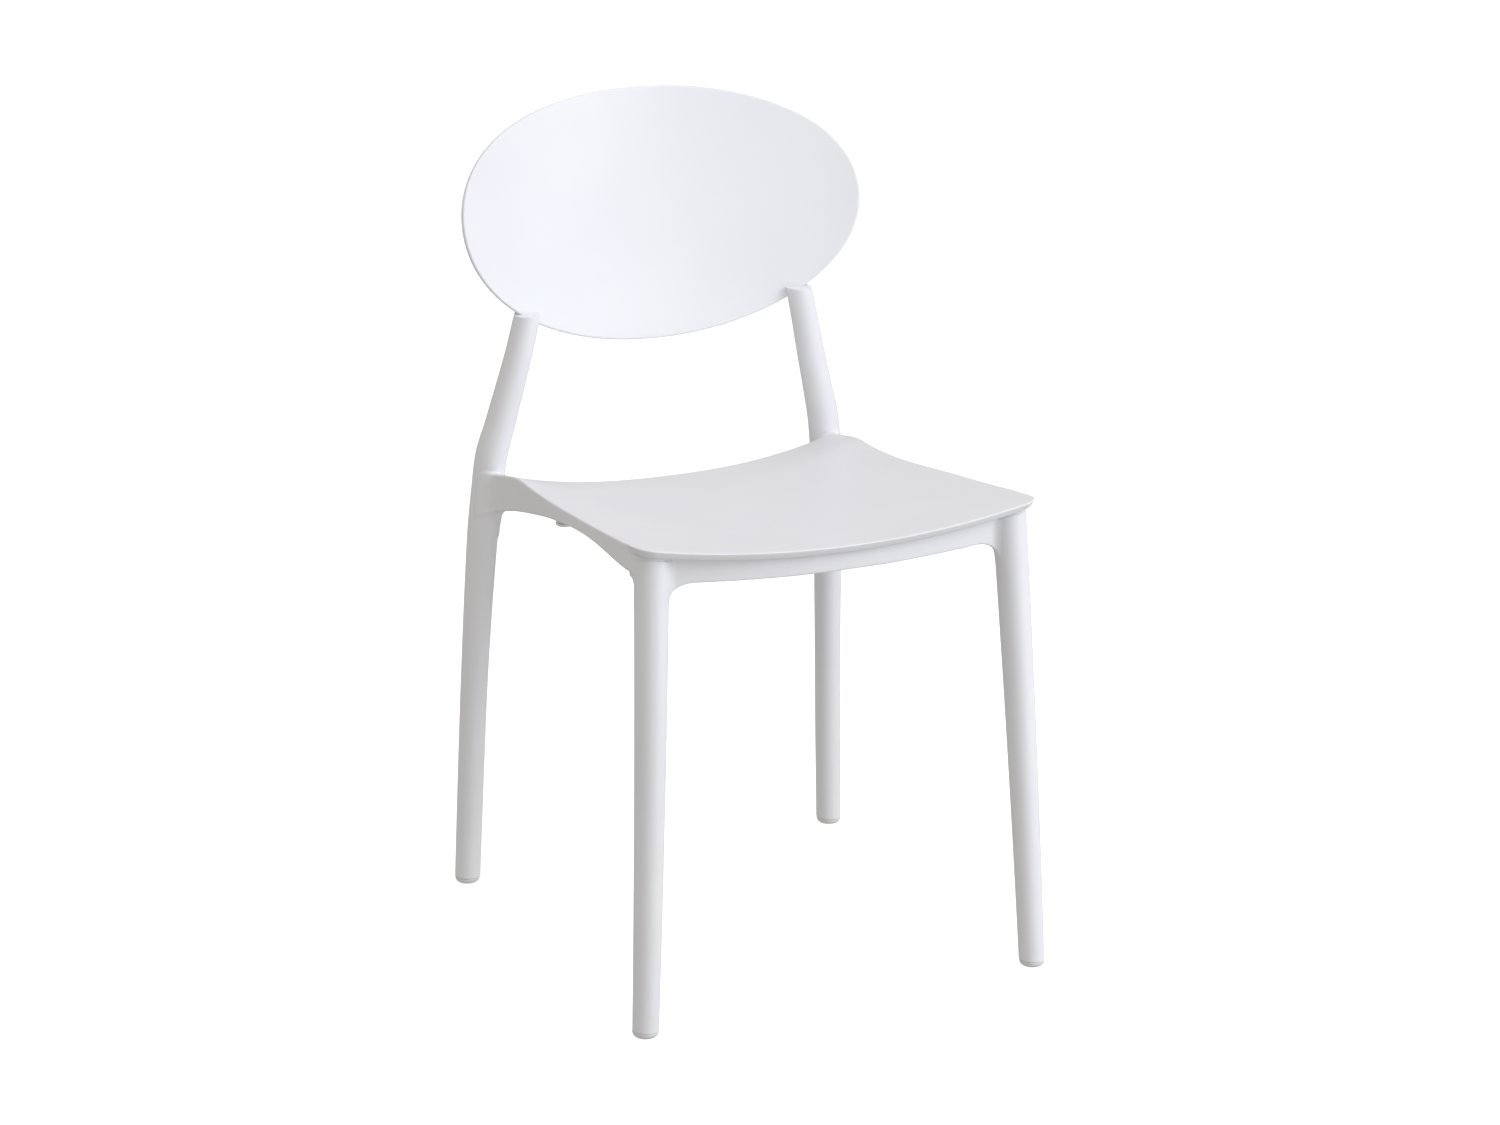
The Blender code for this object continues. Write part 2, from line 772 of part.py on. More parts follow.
def apron_bottom(x):
    """Lower edge of the front apron, with a fillet down each leg."""
    share = abs(x) / APRON_HALF
    z = APRON_CENTRE_Z + (APRON_END_Z - APRON_CENTRE_Z) * share**2
    reach = abs(x) - (APRON_HALF - APRON_FILLET)
    if reach > 0:
        z -= APRON_FILLET - math.sqrt(max(APRON_FILLET**2 - reach**2, 0))
    return z


def front_apron():
    stations = []
    ends = [APRON_HALF - APRON_FILLET * share for share in (0, 0.06, 0.2, 0.5, 1)]
    inner = spread(-ends[-1], ends[-1], 10)
    for x in [-e for e in ends[:-1]] + inner + ends[:-1][::-1]:
        y = APRON_Y - APRON_BOW * (1 - (x / APRON_HALF) ** 2)
        stations.append((x, y, seat_z(x, y) - WELD_DEPTH, apron_bottom(x)))
    return ribbon("front_apron", stations, WALL_THICKNESS, Vector((0, 1, 0)))


def front_lip():
    """A round bead under the front edge that makes the thick lip."""
    points, radii = [], []
    for x in spread(-LIP_HALF, LIP_HALF, 16):
        share = abs(x) / LIP_HALF
        y = SEAT_FRONT_Y + SEAT_FRONT_BOW * x * x + LIP_RADIUS + LIP_INSET
        z = seat_z(x, y) - LIP_RADIUS - LIP_INSET
        points.append((x, y, z))
        radii.append(LIP_RADIUS * (1 - 0.25 * share**6))
    return tube("front_lip", points, radii, 4)


def corner_block(side, sign, axis, rear):
    """A solid socket block inside the corner, flat where the screw heads bear."""
    x, y, _ = axis(REAR_SCREW_Z[1] if rear else FRONT_SCREW_Z[0])
    if rear:
        shape, low, back = REAR_BLOCK, REAR_BLOCK_BOTTOM_Z, -1
    else:
        shape, low, back = FRONT_BLOCK, FRONT_BLOCK_BOTTOM_Z, 1
    outline = [(sign * (x - across), y + back * deep) for across, deep in shape]

    def build(bm):
        floor = [bm.verts.new((px, py, low)) for px, py in outline]
        top = [bm.verts.new((px, py, roof_z(px, py) - WELD_DEPTH)) for px, py in outline]
        bm.faces.new(floor)
        bmesh.ops.triangulate(bm, faces=[bm.faces.new(top)])
        for i in range(len(outline)):
            j = (i + 1) % len(outline)
            bm.faces.new((floor[i], floor[j], top[j], top[i]))

    return mesh_object(f"block_{'rear' if rear else 'front'}_{side}", build)


def ribs():
    made = []
    for sign in (-1, 1):
        stations = []
        for y in spread(*RIB_ENDS, 16):
            top = roof_z(RIB_X, y) - WELD_DEPTH
            bottom = seat_z(RIB_X, y) - SEAT_THICKNESS - RIB_DEPTH
            stations.append((sign * RIB_X, y, top, bottom))
        made.append(ribbon(f"rib_{sign}", stations, RIB_THICKNESS, Vector((sign, 0, 0))))
    for number, y in enumerate(RIB_Y):
        stations = []
        half = edge_x(y) - WALL_THICKNESS / 2
        for x in spread(-half, half, 14):
            z = seat_z(x, y)
            stations.append((x, y, z - WELD_DEPTH, z - SEAT_THICKNESS - CROSS_RIB_DEPTH))
        made.append(ribbon(f"cross_rib_{number}", stations, RIB_THICKNESS, Vector((0, 1, 0))))
    return made


def make_seat():
    seat = seat_top()
    outline = prism("seat_outline", seat_outline(), 0.35, 0.50)
    combine(seat, [outline], "INTERSECT")
    additions = [front_apron(), front_lip()] + ribs()
    cuts = []
    for side, sign in SIDES.items():
        additions.append(side_rail(side, sign))
        place_at = Matrix.Translation((sign * BUMPER_PLACE[0], BUMPER_PLACE[1], 0))
        floor = BUMPER_BOTTOM_Z + BUMPER_HEAD_HEIGHT + GAP
        additions.append(
            cylinder("bumper_boss_" + side, BUMPER_RADIUS, floor, BUMPER_BOSS_TOP_Z, place_at)
        )
        cuts.append(
            cylinder(
                "bumper_hole_" + side,
                BUMPER_STEM_RADIUS + GAP,
                BUMPER_BOTTOM_Z,
                floor + BUMPER_STEM_HEIGHT,
                place_at,
                12,
            )
        )
        for rear, axis, heights, body in (
            (False, front_axis, FRONT_SCREW_Z, front_leg_body),
            (True, rear_axis, REAR_SCREW_Z, rear_leg_body),
        ):
            additions.append(corner_block(side, sign, axis, rear))
            name = f"{'rear' if rear else 'front'}_{side}"
            cuts.append(body("room_" + name, sign, GAP))
            for number, z in enumerate(heights, 1):
                frame = screw_frame(sign, axis, z, rear)
                bore = SCREW_RADIUS + GAP
                cuts.append(cylinder(f"way_{name}_{number}", bore, 0, WAY_END, frame, 12))
    combine(seat, additions, "UNION")
    combine(seat, cuts, "DIFFERENCE")
    return finish_part(seat, "plastic")


# Small pieces

def glide_profile():
    profile = [(0, PLUG_TOP_Z), (PLUG_RADIUS - 0.0008, PLUG_TOP_Z)]
    profile += [(PLUG_RADIUS, PLUG_TOP_Z - 0.0020), (PLUG_RADIUS, GLIDE_HEIGHT)]
    profile.append((GLIDE_RADIUS, GLIDE_HEIGHT))
    for angle in spread(0, 90, 3):
        turn = math.radians(angle)
        profile.append(
            (
                GLIDE_RADIUS - GLIDE_EDGE * (1 - math.cos(turn)),
                GLIDE_EDGE * (1 - math.sin(turn)),
            )
        )
    return profile + [(0, 0)]


def make_glides():
    for side, sign in SIDES.items():
        for end, axis in (("front", front_axis), ("rear", rear_axis)):
            glide = turned(f"glide_{end}_{side}", glide_profile(), 16)
            x, y, _ = axis(0)
            glide.matrix_basis = Matrix.Translation((sign * x, y, 0))
            finish_part(glide, "glide")


def make_bumpers():
    top = BUMPER_BOTTOM_Z + BUMPER_HEAD_HEIGHT
    stem = top + BUMPER_STEM_HEIGHT - GAP
    profile = [(0, stem), (BUMPER_STEM_RADIUS, stem), (BUMPER_STEM_RADIUS, top)]
    profile.append((BUMPER_RADIUS, top))
    profile.append((BUMPER_RADIUS, top - BUMPER_RIM))
    for angle in (30, 60, 78):
        turn = math.radians(angle)
        height = BUMPER_BOTTOM_Z + (BUMPER_HEAD_HEIGHT - BUMPER_RIM) * (1 - math.sin(turn))
        profile.append((BUMPER_RADIUS * math.cos(turn), height))
    profile.append((0, BUMPER_BOTTOM_Z))
    for side, sign in SIDES.items():
        bumper = turned("bumper_" + side, profile, 14)
        bumper.matrix_basis = Matrix.Translation((sign * BUMPER_PLACE[0], BUMPER_PLACE[1], 0))
        finish_part(bumper, "rubber")


def screw(name, radius, length, head_radius, head_height, recess, sides):
    """A screw along Z: its head stands above zero and its shank runs down."""
    profile = [
        (0, head_height),
        (head_radius * 0.60, head_height),
        (head_radius * 0.90, head_height * 0.62),
        (head_radius, 0),
        (radius, 0),
        (radius, -length),
        (0, -length),
    ]
    body = turned(name, profile, 12)
    depth = head_height * 0.55
    socket = cylinder(
        name + "_socket", recess, head_height - depth, head_height + OVERRUN, Matrix(), sides
    )
    return combine(body, [socket], "DIFFERENCE")


def make_leg_fasteners():
    bolt = screw(
        "leg_screw", SCREW_RADIUS, SCREW_LENGTH, SCREW_HEAD_RADIUS, SCREW_HEAD_HEIGHT,
        HEX_RADIUS, 6,
    )
    outer, bore = INSERT_RADIUS, SCREW_RADIUS + GAP
    low, high = INSERT_START, INSERT_START + INSERT_LENGTH
    profile = [(bore, high), (outer - INSERT_BEVEL, high), (outer, high - INSERT_BEVEL)]
    profile += [(outer, low), (bore, low), (bore, high)]
    insert = turned("insert", profile, 12)
    for side, sign in SIDES.items():
        for end, axis, heights in (
            ("front", front_axis, FRONT_SCREW_Z),
            ("rear", rear_axis, REAR_SCREW_Z),
        ):
            for number, z in enumerate(heights, 1):
                frame = screw_frame(sign, axis, z, end == "rear")
                pad = pad_distance(axis, z, end == "rear")
                label = f"{end}_{side}_{number}"
                piece = bpy.data.objects.new("leg_screw_" + label, bolt.data)
                piece.matrix_basis = frame @ Matrix.Translation((0, 0, pad + GAP))
                finish_part(piece, "steel")
                piece = bpy.data.objects.new("insert_" + label, insert.data.copy())
                piece.matrix_basis = frame
                finish_part(piece, "brass")
    bpy.data.objects.remove(bolt)
    bpy.data.objects.remove(insert)


def make_back_screws():
    pan = screw(
        "back_screw", BACK_SCREW_RADIUS, BACK_SCREW_LENGTH, BACK_HEAD_RADIUS,
        BACK_HEAD_HEIGHT, BACK_HEX_RADIUS, 6,
    )
    for side, sign in SIDES.items():
        for number, v in enumerate(BACK_SCREW_V, 1):
            piece = bpy.data.objects.new(f"back_screw_{side}_{number}", pan.data)
            seat = Matrix.Translation((0, 0, BACK_HEAD_SEAT - GAP))
            turned_over = Matrix.Rotation(math.pi, 4, "X")
            piece.matrix_basis = back_screw_frame(sign, v) @ seat @ turned_over
            finish_part(piece, "steel")
    bpy.data.objects.remove(pan)


clear_scene()
PARTS = new_collection("stacking_chair")
TOOLS = new_collection("cutters")
CARRIER = bpy.data.objects.new("carrier", None)
bpy.context.scene.collection.objects.link(CARRIER)
CARRIER.location = (0, FRAME_SHIFT_Y, 0)

make_backrest()
for chair_side, chair_sign in SIDES.items():
    make_front_leg(chair_side, chair_sign)
    make_rear_leg(chair_side, chair_sign)
make_seat()
make_glides()
make_bumpers()
make_leg_fasteners()
make_back_screws()
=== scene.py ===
"""The looks of a white moulded stacking chair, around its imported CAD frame.

Every moulding is a field: a function that is negative inside the piece and positive outside.
Fields are joined with round edges and fillets, and a mesh is laid on where they are zero.
Metres, +Z up, the chair's front faces -Y. Stations along Y are counted from the middle
between the front and rear feet, as in the design, and OFFSET takes them to the frame.
"""
import math

import bmesh
import bpy
import numpy as np
from mathutils import Matrix, Vector


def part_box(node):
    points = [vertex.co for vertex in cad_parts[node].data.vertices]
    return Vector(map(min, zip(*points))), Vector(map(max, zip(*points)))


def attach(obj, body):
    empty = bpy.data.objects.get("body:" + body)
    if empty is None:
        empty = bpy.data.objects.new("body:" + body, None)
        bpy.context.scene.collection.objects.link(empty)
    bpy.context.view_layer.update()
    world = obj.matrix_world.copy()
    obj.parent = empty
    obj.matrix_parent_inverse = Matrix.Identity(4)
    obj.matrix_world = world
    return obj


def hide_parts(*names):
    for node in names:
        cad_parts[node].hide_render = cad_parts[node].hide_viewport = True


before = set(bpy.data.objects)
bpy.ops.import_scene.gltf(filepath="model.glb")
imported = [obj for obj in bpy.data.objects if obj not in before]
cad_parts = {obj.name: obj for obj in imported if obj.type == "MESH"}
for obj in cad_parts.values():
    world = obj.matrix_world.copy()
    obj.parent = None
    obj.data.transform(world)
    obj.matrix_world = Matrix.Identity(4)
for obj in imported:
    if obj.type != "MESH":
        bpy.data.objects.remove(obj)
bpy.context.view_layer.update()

SIDES = {"left": -1, "right": 1}

# Edges and gaps that many pieces share
GAP = 0.0003
FINE_EDGE = 0.0003
SLIGHT_REACH = 0.0001

# Front legs: the axis at the floor, its lean and bow, and the leg's radius
FRONT_FOOT = (0.2097, -0.2140)
FRONT_LEAN_IN = 0.0455
FRONT_LEAN_BACK = 0.070
FRONT_BOW = 0.0464
FRONT_FOOT_RADIUS = 0.0126
FRONT_TAPER = 0.0087
FRONT_TOP_Z = 0.4605
FRONT_TOP_EDGE = 0.001

# The shadow line, a groove round each front leg under the seat's lip
LINE_DEPTH = 0.0094
LINE_RADIUS = 0.0011
LINE_ROOM = 1.3 * LINE_RADIUS
LINE_FADE = 0.001
LINE_TILT = 0.22
LINE_FRONT_Y = -0.1888

# Rear legs: height, half spacing, station, radius
REAR_STATIONS = (
    (0.000, 0.2090, 0.2147, 0.0130),
    (0.120, 0.2049, 0.2147, 0.0134),
    (0.240, 0.2007, 0.2128, 0.0139),
    (0.370, 0.1948, 0.2078, 0.0155),
    (0.420, 0.1900, 0.2063, 0.0161),
    (0.455, 0.1857, 0.2055, 0.0161),
    (0.485, 0.1780, 0.2032, 0.0152),
    (0.530, 0.1663, 0.2003, 0.0142),
    (0.560, 0.1589, 0.1984, 0.0136),
    (0.585, 0.1531, 0.1979, 0.0133),
)
REAR_TOP_SLOPE = (0.232, 0.020)
SHOULDER_Z = 0.596
SHOULDER_LEAD = 0.002
SHOULDER_LENGTH = 0.020
SHOULDER_FILLET = 0.0012
SHOULDER_EDGE = 0.0007
TONGUE_TOP_Z = 0.668
TONGUE_TOP_X = 0.1415
TONGUE_CURVE = 1.6
TONGUE_RADIUS = 0.0128
TONGUE_END = 0.012
TONGUE_BLEND = 0.050
TONGUE_TAPER_LENGTH = 0.02
TONGUE_FACE_EDGE = 0.0004

# Feet and glides
FOOT_CUT_Z = 0.0063
PLUG_RADIUS = 0.0070
PLUG_EDGE = 0.001
PLUG_TOP_Z = 0.030
GLIDE_HEIGHT = 0.0060
GLIDE_EDGE = 0.0050

# Seat's top: station, half width and height of its side edge
SEAT_EDGE = (
    (-0.230, 0.2105, 0.4748),
    (-0.165, 0.2110, 0.4692),
    (-0.100, 0.2062, 0.4626),
    (-0.040, 0.2014, 0.4572),
    (0.020, 0.1955, 0.4516),
    (0.060, 0.1922, 0.4490),
    (0.100, 0.1904, 0.4486),
    (0.132, 0.1900, 0.4500),
    (0.160, 0.1900, 0.4458),
    (0.185, 0.1900, 0.4402),
    (0.210, 0.1900, 0.4350),
)
# Lower edge of the side rails
RAIL_BOTTOM = (
    (-0.175, 0.4405),
    (-0.160, 0.4430),
    (-0.145, 0.4437),
    (-0.050, 0.4445),
    (0.042, 0.4327),
    (0.102, 0.4215),
    (0.143, 0.4128),
    (0.175, 0.4035),
    (0.204, 0.3930),
)
# Lower edge of the webs that brace the rear legs inside the rails
WEB_BOTTOM = (
    (0.140, 0.4150),
    (0.160, 0.4100),
    (0.172, 0.4055),
    (0.182, 0.4015),
    (0.190, 0.3960),
    (0.1965, 0.3890),
    (0.201, 0.3800),
    (0.203, 0.3720),
    (0.206, 0.3650),
)
WEB_INSET = 0.0025
WEB_THICKNESS = 0.0080
WEB_EDGE = 0.0020

# Seat: the saddle and its edges
SEAT_FRONT_Y = -0.2060
SEAT_FRONT_BOW = 0.22
SEAT_CORNER_RADIUS = 0.017
SEAT_REAR_Y = 0.2060
SEAT_ROLL_RADIUS = 0.018
SEAT_FRONT_CENTRE_Z = 0.4538
SEAT_FALL = 0.0964
SEAT_DISH = 0.0035
SADDLE_POWER = 2
SADDLE_POWER_GAIN = 0.4
SADDLE_GAIN_START_Y = -0.05
SADDLE_GAIN_LENGTH = 0.20
SIDE_EDGE_RADIUS = 0.0018
REAR_EDGE_RADIUS = 0.003
REAR_EDGE_START_Y = 0.06
REAR_EDGE_LENGTH = 0.08
WALL_CORNER_RADIUS = 0.016

# Seat: sheet, rails and sockets
SEAT_THICKNESS = 0.0045
WALL_THICKNESS = 0.0040
WALL_EDGE = 0.0015
WALL_FILLET = 0.003
SHELL_EDGE = 0.0018
RAIL_SET_BACK = 0.0060
RAIL_SET_BACK_Y = -0.153
RAIL_SET_BACK_LENGTH = 0.030
REAR_FLARE = 0.014
FLARE_END_Y = 0.1985
FLARE_END_DROP = 0.012
FLARE_END_LENGTH = 0.006
TUBE_INSET = 0.0004
FRONT_TUBE_BOTTOM_Z = 0.385
FRONT_FILLET = 0.008
FRONT_FILLET_DEPTH = 0.009
FRONT_FILLET_FADE = 0.004
REAR_TUBE_Z = (0.360, 0.478)
REAR_FILLET = 0.0045
REAR_FILLET_GAIN = 0.0015
REAR_FILLET_Z = 0.425
REAR_FILLET_FADE = 0.015

# Seat: front lip
LIP_EDGE = 0.0020
LIP_LEAN = math.radians(32)
LIP_THICKNESS = 0.0082
LIP_ROLL = 0.0030
LIP_DEPTH = 0.032
LIP_END_Y = -0.150
LIP_SINK = 0.004
LIP_SINK_Y = -0.167
LIP_SINK_LENGTH = 0.015
LIP_FILLET = 0.0015
LIP_FILLET_DEPTH = 0.003

# Seat: aprons and ribs
REAR_APRON_BOTTOM_Z = 0.396
APRON_Y = -0.178
APRON_BOW = 0.015
APRON_HALF = 0.176
APRON_CENTRE_Z = 0.4252
APRON_END_Z = 0.4300
APRON_SWEEP_LENGTH = 0.028
APRON_SWEEP_DEPTH = 0.021
RIB_THICKNESS = 0.0028
RIB_EDGE = 0.0008
RIB_FILLET = 0.0015
RIB_DEPTH = 0.0105
CROSS_RIB_DEPTH = 0.0075
RIB_X = 0.070
RIB_Y = (-0.070, 0.060)
RIB_ENDS = (-0.186, 0.200)

# Socket blocks: near and far side, low and high depth, the flat across the corner, bottom
FRONT_BLOCK = (-0.0135, 0.0225, -0.0020, 0.0225, 0.0325, 0.4325)
REAR_BLOCK = (0.0015, 0.0235, 0.0075, 0.0235, 0.0355, 0.4015)
BLOCK_EDGE = 0.001
BLOCK_BOTTOM_EDGE = 0.005

# Bumpers
BUMPER_PLACE = (0.1845, 0.033)
BUMPER_RADIUS = 0.008
BUMPER_EDGE = 0.0004
BUMPER_BAND = 0.0012
BUMPER_BOTTOM_Z = 0.4275
BUMPER_HEAD_HEIGHT = 0.0042
BUMPER_STEM_RADIUS = 0.0030
BUMPER_STEM_EDGE = 0.0005
BUMPER_STEM_HEIGHT = 0.006
BUMPER_SHELF_Z = BUMPER_BOTTOM_Z + BUMPER_HEAD_HEIGHT + GAP

# Back panel
PANEL_CENTRE = (0.241, 0.677)
PANEL_HALF_WIDTH = 0.2242
PANEL_HALF_HEIGHT = 0.1264
PANEL_LEAN = math.radians(13.23)
PANEL_RADIUS = 1 / 1.832
PANEL_POWER = 2.04
PANEL_EGG = 0.026
PANEL_THICKNESS = 0.0044
PANEL_EDGE = 0.0019

# Fasteners
SCREW_RADIUS = 0.0030
INSERT_RADIUS = 0.0045
INSERT_START = 0.0035
HOLE_MOUTH = 0.022
SCREW_WAY = 0.032
FRONT_SCREW_Z = (0.4385, 0.4500)
REAR_SCREW_Z = (0.4085, 0.4265)
BACK_SCREW_RADIUS = 0.0023
BACK_HEAD_RADIUS = 0.0045
BACK_HEAD_SEAT = -0.0068
BACK_SCREW_V = (-0.0620, -0.0300)
BACK_SCREW_BORE = 0.0028
BOSS_RADIUS = 0.0055
BOSS_HEIGHT = 0.0035
BOSS_EDGE = 0.0006
BOSS_FILLET = 0.0015

# Grids: stretches of (start, end, step), and how near the surface the field is sampled
LEG_PLAN_GRID = ((-0.019, 0.019, 0.0010),)
FRONT_LEG_GRID = (
    (0.004, 0.010, 0.0006), (0.010, 0.040, 0.002), (0.040, 0.420, 0.005),
    (0.420, 0.440, 0.0014), (0.440, 0.464, 0.0007),
)
REAR_LEG_GRID = (
    (0.004, 0.010, 0.0006), (0.010, 0.040, 0.002), (0.040, 0.385, 0.005),
    (0.385, 0.450, 0.0014), (0.450, 0.570, 0.003), (0.570, 0.672, 0.0010),
)
LEG_REACH = 0.012
PANEL_GRIDS = (
    ((-0.130, 0.130, 0.0026),),
    ((-0.228, 0.228, 0.0028),),
    ((-0.0009, 0.0087, 0.0006),),
)
PANEL_REACH = 0.010
SEAT_GRIDS = (
    ((-1.11, 1.11, 0.009),),
    ((-0.2125, -0.160, 0.0015), (-0.160, 0.160, 0.0022), (0.160, 0.225, 0.0015)),
    ((-0.095, -0.013, 0.0018), (-0.013, 0.004, 0.001), (0.004, 0.038, 0.0018)),
)
SEAT_REACH = 0.008
SKIN_TOLERANCE = 0.0003

# Camera, from the photo's perspective
CAMERA_AZIMUTH = math.radians(-26.966)
CAMERA_ELEVATION = math.radians(17.4157)
CAMERA_ROLL = math.radians(1.0584)
CAMERA_DISTANCE = 4.1032
CAMERA_TARGET_Z = 0.3777
SENSOR_WIDTH = 36
FOCAL_SHARE = 2.8

# Studio: brightness from below and above, and each light's place, aim height, size and watts
WORLD_COLOUR = (1, 0.955, 0.90, 1)
WORLD_STRENGTHS = (0.45, 0.60)
WORLD_BLEND = 0.4
LIGHT_COLOUR = (0.88, 0.91, 1)
LIGHTS = {
    "key": ((2.4, -2.4, 2.2), 0.4, (2.0, 2.0), 60),
    "front": ((0.3, -3.2, 1.2), 0.4, (2.4, 1.6), 4),
    "low": ((1.2, -1.5, 0.1), 0.15, (1.6, 0.2), 5),
    "top": ((0.3, -0.6, 3.2), 0.4, (3.0, 3.0), 22),
}
FLOOR_SIZE = 60
FLOOR_GLOW = 0.62


def centre(node):
    low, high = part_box(node)
    return (low + high) / 2


OFFSET = Vector((0, centre("glide_front_left").y - FRONT_FOOT[1], 0))


# Numbers

def smoothstep(t):
    t = np.clip(t, 0, 1)
    return t * t * (3 - 2 * t)


def between(table, at, column):
    """Smooth values through a table's rows, with the slopes of a Catmull-Rom curve."""
    rows = np.array(table)
    places, values = rows[:, 0], rows[:, column]
    order = np.arange(len(rows))
    low, high = np.maximum(order - 1, 0), np.minimum(order + 1, len(rows) - 1)
    slopes = (values[high] - values[low]) / (places[high] - places[low])
    at = np.clip(at, places[0], places[-1])
    i = np.clip(np.searchsorted(places, at, "right") - 1, 0, len(rows) - 2)
    span = places[i + 1] - places[i]
    t = (at - places[i]) / span
    start = (2 * t**3 - 3 * t**2 + 1) * values[i] + (t**3 - 2 * t**2 + t) * span * slopes[i]
    end = (3 * t**2 - 2 * t**3) * values[i + 1] + (t**3 - t**2) * span * slopes[i + 1]
    return start + end


def steps(*stretches):
    """Places along an axis from stretches of (start, end, step) that follow each other."""
    places = [np.array([stretches[0][0]])]
    for start, end, step in stretches:
        places.append(np.linspace(start, end, round((end - start) / step) + 1)[1:])
    return np.concatenate(places)


# Fields

def rounded(a, b, radius):
    """What two solids share, with a round edge where their surfaces meet."""
    p, q = a + radius, b + radius
    outside = np.hypot(np.maximum(p, 0), np.maximum(q, 0))
    return outside + np.minimum(np.maximum(p, q), 0) - radius


def blended(a, b, reach):
    """Two solids as one, with a fillet between them."""
    share = np.maximum(reach - np.abs(a - b), 0) / reach
    return np.minimum(a, b) - share * share * reach / 4


def bar(x, y, z, origin, direction, radius, low, high):
    """A round bar from distance low to high along a direction."""
    px, py, pz = x - origin[0], y - origin[1], z - origin[2]
    along = px * direction[0] + py * direction[1] + pz * direction[2]
    off = np.sqrt(np.maximum(px * px + py * py + pz * pz - along * along, 0))
    return np.maximum(off - radius, np.maximum(low - along, along - high))


# Meshes

def surface_nets(values, xs, ys, zs):
    """Points and four-sided faces on where the gridded values are zero."""
    inside = values < 0
    count = np.zeros([n - 1 for n in values.shape], np.int8)
    for di in (0, 1):
        for dj in (0, 1):
            for dk in (0, 1):
                part = inside[di : di + count.shape[0], dj : dj + count.shape[1]]
                count += part[:, :, dk : dk + count.shape[2]]
    active = (count > 0) & (count < 8)
    index = np.full(count.shape, -1)
    index[active] = np.arange(active.sum())
    cell = np.argwhere(active)
    total = np.zeros((len(cell), 3))
    hits = np.zeros(len(cell))
    axes = (xs, ys, zs)
    for axis in range(3):
        others = [a for a in range(3) if a != axis]
        for da in (0, 1):
            for db in (0, 1):
                start = cell.copy()
                start[:, others[0]] += da
                start[:, others[1]] += db
                end = start.copy()
                end[:, axis] += 1
                a, b = values[tuple(start.T)], values[tuple(end.T)]
                cross = (a < 0) != (b < 0)
                share = np.where(cross, a / np.where(cross, a - b, 1), 0)
                for k in range(3):
                    low, high = axes[k][start[:, k]], axes[k][end[:, k]]
                    total[:, k] += np.where(cross, low + share * (high - low), 0)
                hits += cross
    points = total / hits[:, None]
    faces = []
    for axis in range(3):
        b, c = (axis + 1) % 3, (axis + 2) % 3
        low = [slice(1, -1)] * 3
        high = [slice(1, -1)] * 3
        low[axis], high[axis] = slice(0, -1), slice(1, None)
        here, there = inside[tuple(low)], inside[tuple(high)]
        place = np.argwhere(here != there)
        outward = here[tuple(place.T)]
        place += [0 if k == axis else 1 for k in range(3)]
        ring = []
        for db, dc in ((-1, -1), (0, -1), (0, 0), (-1, 0)):
            corner = place.copy()
            corner[:, b] += db
            corner[:, c] += dc
            ring.append(index[tuple(corner.T)])
        ring = np.array(ring).T
        ring[~outward] = ring[~outward][:, ::-1]
        faces.append(ring)
    return points, np.concatenate(faces)


def gradient(field, points, step=0.00005):
    """The field's slope at points, by central differences."""
    slope = np.empty_like(points)
    for k in range(3):
        ahead, behind = points.copy(), points.copy()
        ahead[:, k] += step
        behind[:, k] -= step
        slope[:, k] = (field(*ahead.T) - field(*behind.T)) / (2 * step)
    return slope


def sampled(field, place, xs, ys, zs, reach):
    """The field on a grid. Far from the surface, a value stands for its neighbours too."""
    axes = (xs, ys, zs)
    sparse = [np.append(np.arange(0, len(axis) - 1, 3), len(axis) - 1) for axis in axes]
    grid = np.meshgrid(*(axis[rows] for axis, rows in zip(axes, sparse)), indexing="ij")
    rough = field(*place(*grid))
    nearest = [
        np.minimum((np.arange(len(axis)) + 1) // 3, len(rows) - 1)
        for axis, rows in zip(axes, sparse)
    ]
    values = rough[np.ix_(*nearest)]
    close = np.nonzero(np.abs(values) < reach)
    values[close] = field(*place(*(axis[rows] for axis, rows in zip(axes, close))))
    return values


def moulding(field, place, xs, ys, zs, reach):
    """A closed surface where the field is zero, as points and faces.

    The grid lives in coordinates that follow the piece, and place takes them to the chair.
    """
    points, faces = surface_nets(sampled(field, place, xs, ys, zs, reach), xs, ys, zs)

    def local(a, b, c):
        return field(*place(a, b, c))

    limit = min(np.diff(xs).min(), np.diff(ys).min(), np.diff(zs).min()) / 2
    ends = np.concatenate([faces, np.roll(faces, 1, axis=1)]).ravel()
    others = np.concatenate([np.roll(faces, -1, axis=1), faces]).ravel()
    count = np.bincount(ends, minlength=len(points))[:, None]
    for turn in range(6):
        if turn < 3:
            middle = [np.bincount(ends, points[others, k], len(points)) for k in range(3)]
            points = (points + np.array(middle).T / count) / 2
        slope = gradient(local, points)
        size = np.maximum((slope**2).sum(1), 1e-12)
        move = slope * (local(*points.T) / size)[:, None]
        length = np.linalg.norm(move, axis=1)
        move *= np.minimum(1, limit / np.maximum(length, 1e-12))[:, None]
        points -= move
    return np.array(place(*points.T)).T, faces


def smooth_mesh(name, points, faces, field, flip=False):
    """A mesh with the field's own normals, or its mirror image."""
    normals = gradient(field, points)
    normals /= np.maximum(np.linalg.norm(normals, axis=1), 1e-9)[:, None]
    if flip:
        mirror = np.array((-1, 1, 1))
        points, normals, faces = points * mirror, normals * mirror, faces[:, ::-1]
    mesh = bpy.data.meshes.new(name)
    mesh.from_pydata((points + np.array(OFFSET)).tolist(), [], faces.tolist())
    mesh.shade_smooth()
    mesh.normals_split_custom_set_from_vertices(normals.tolist())
    return mesh


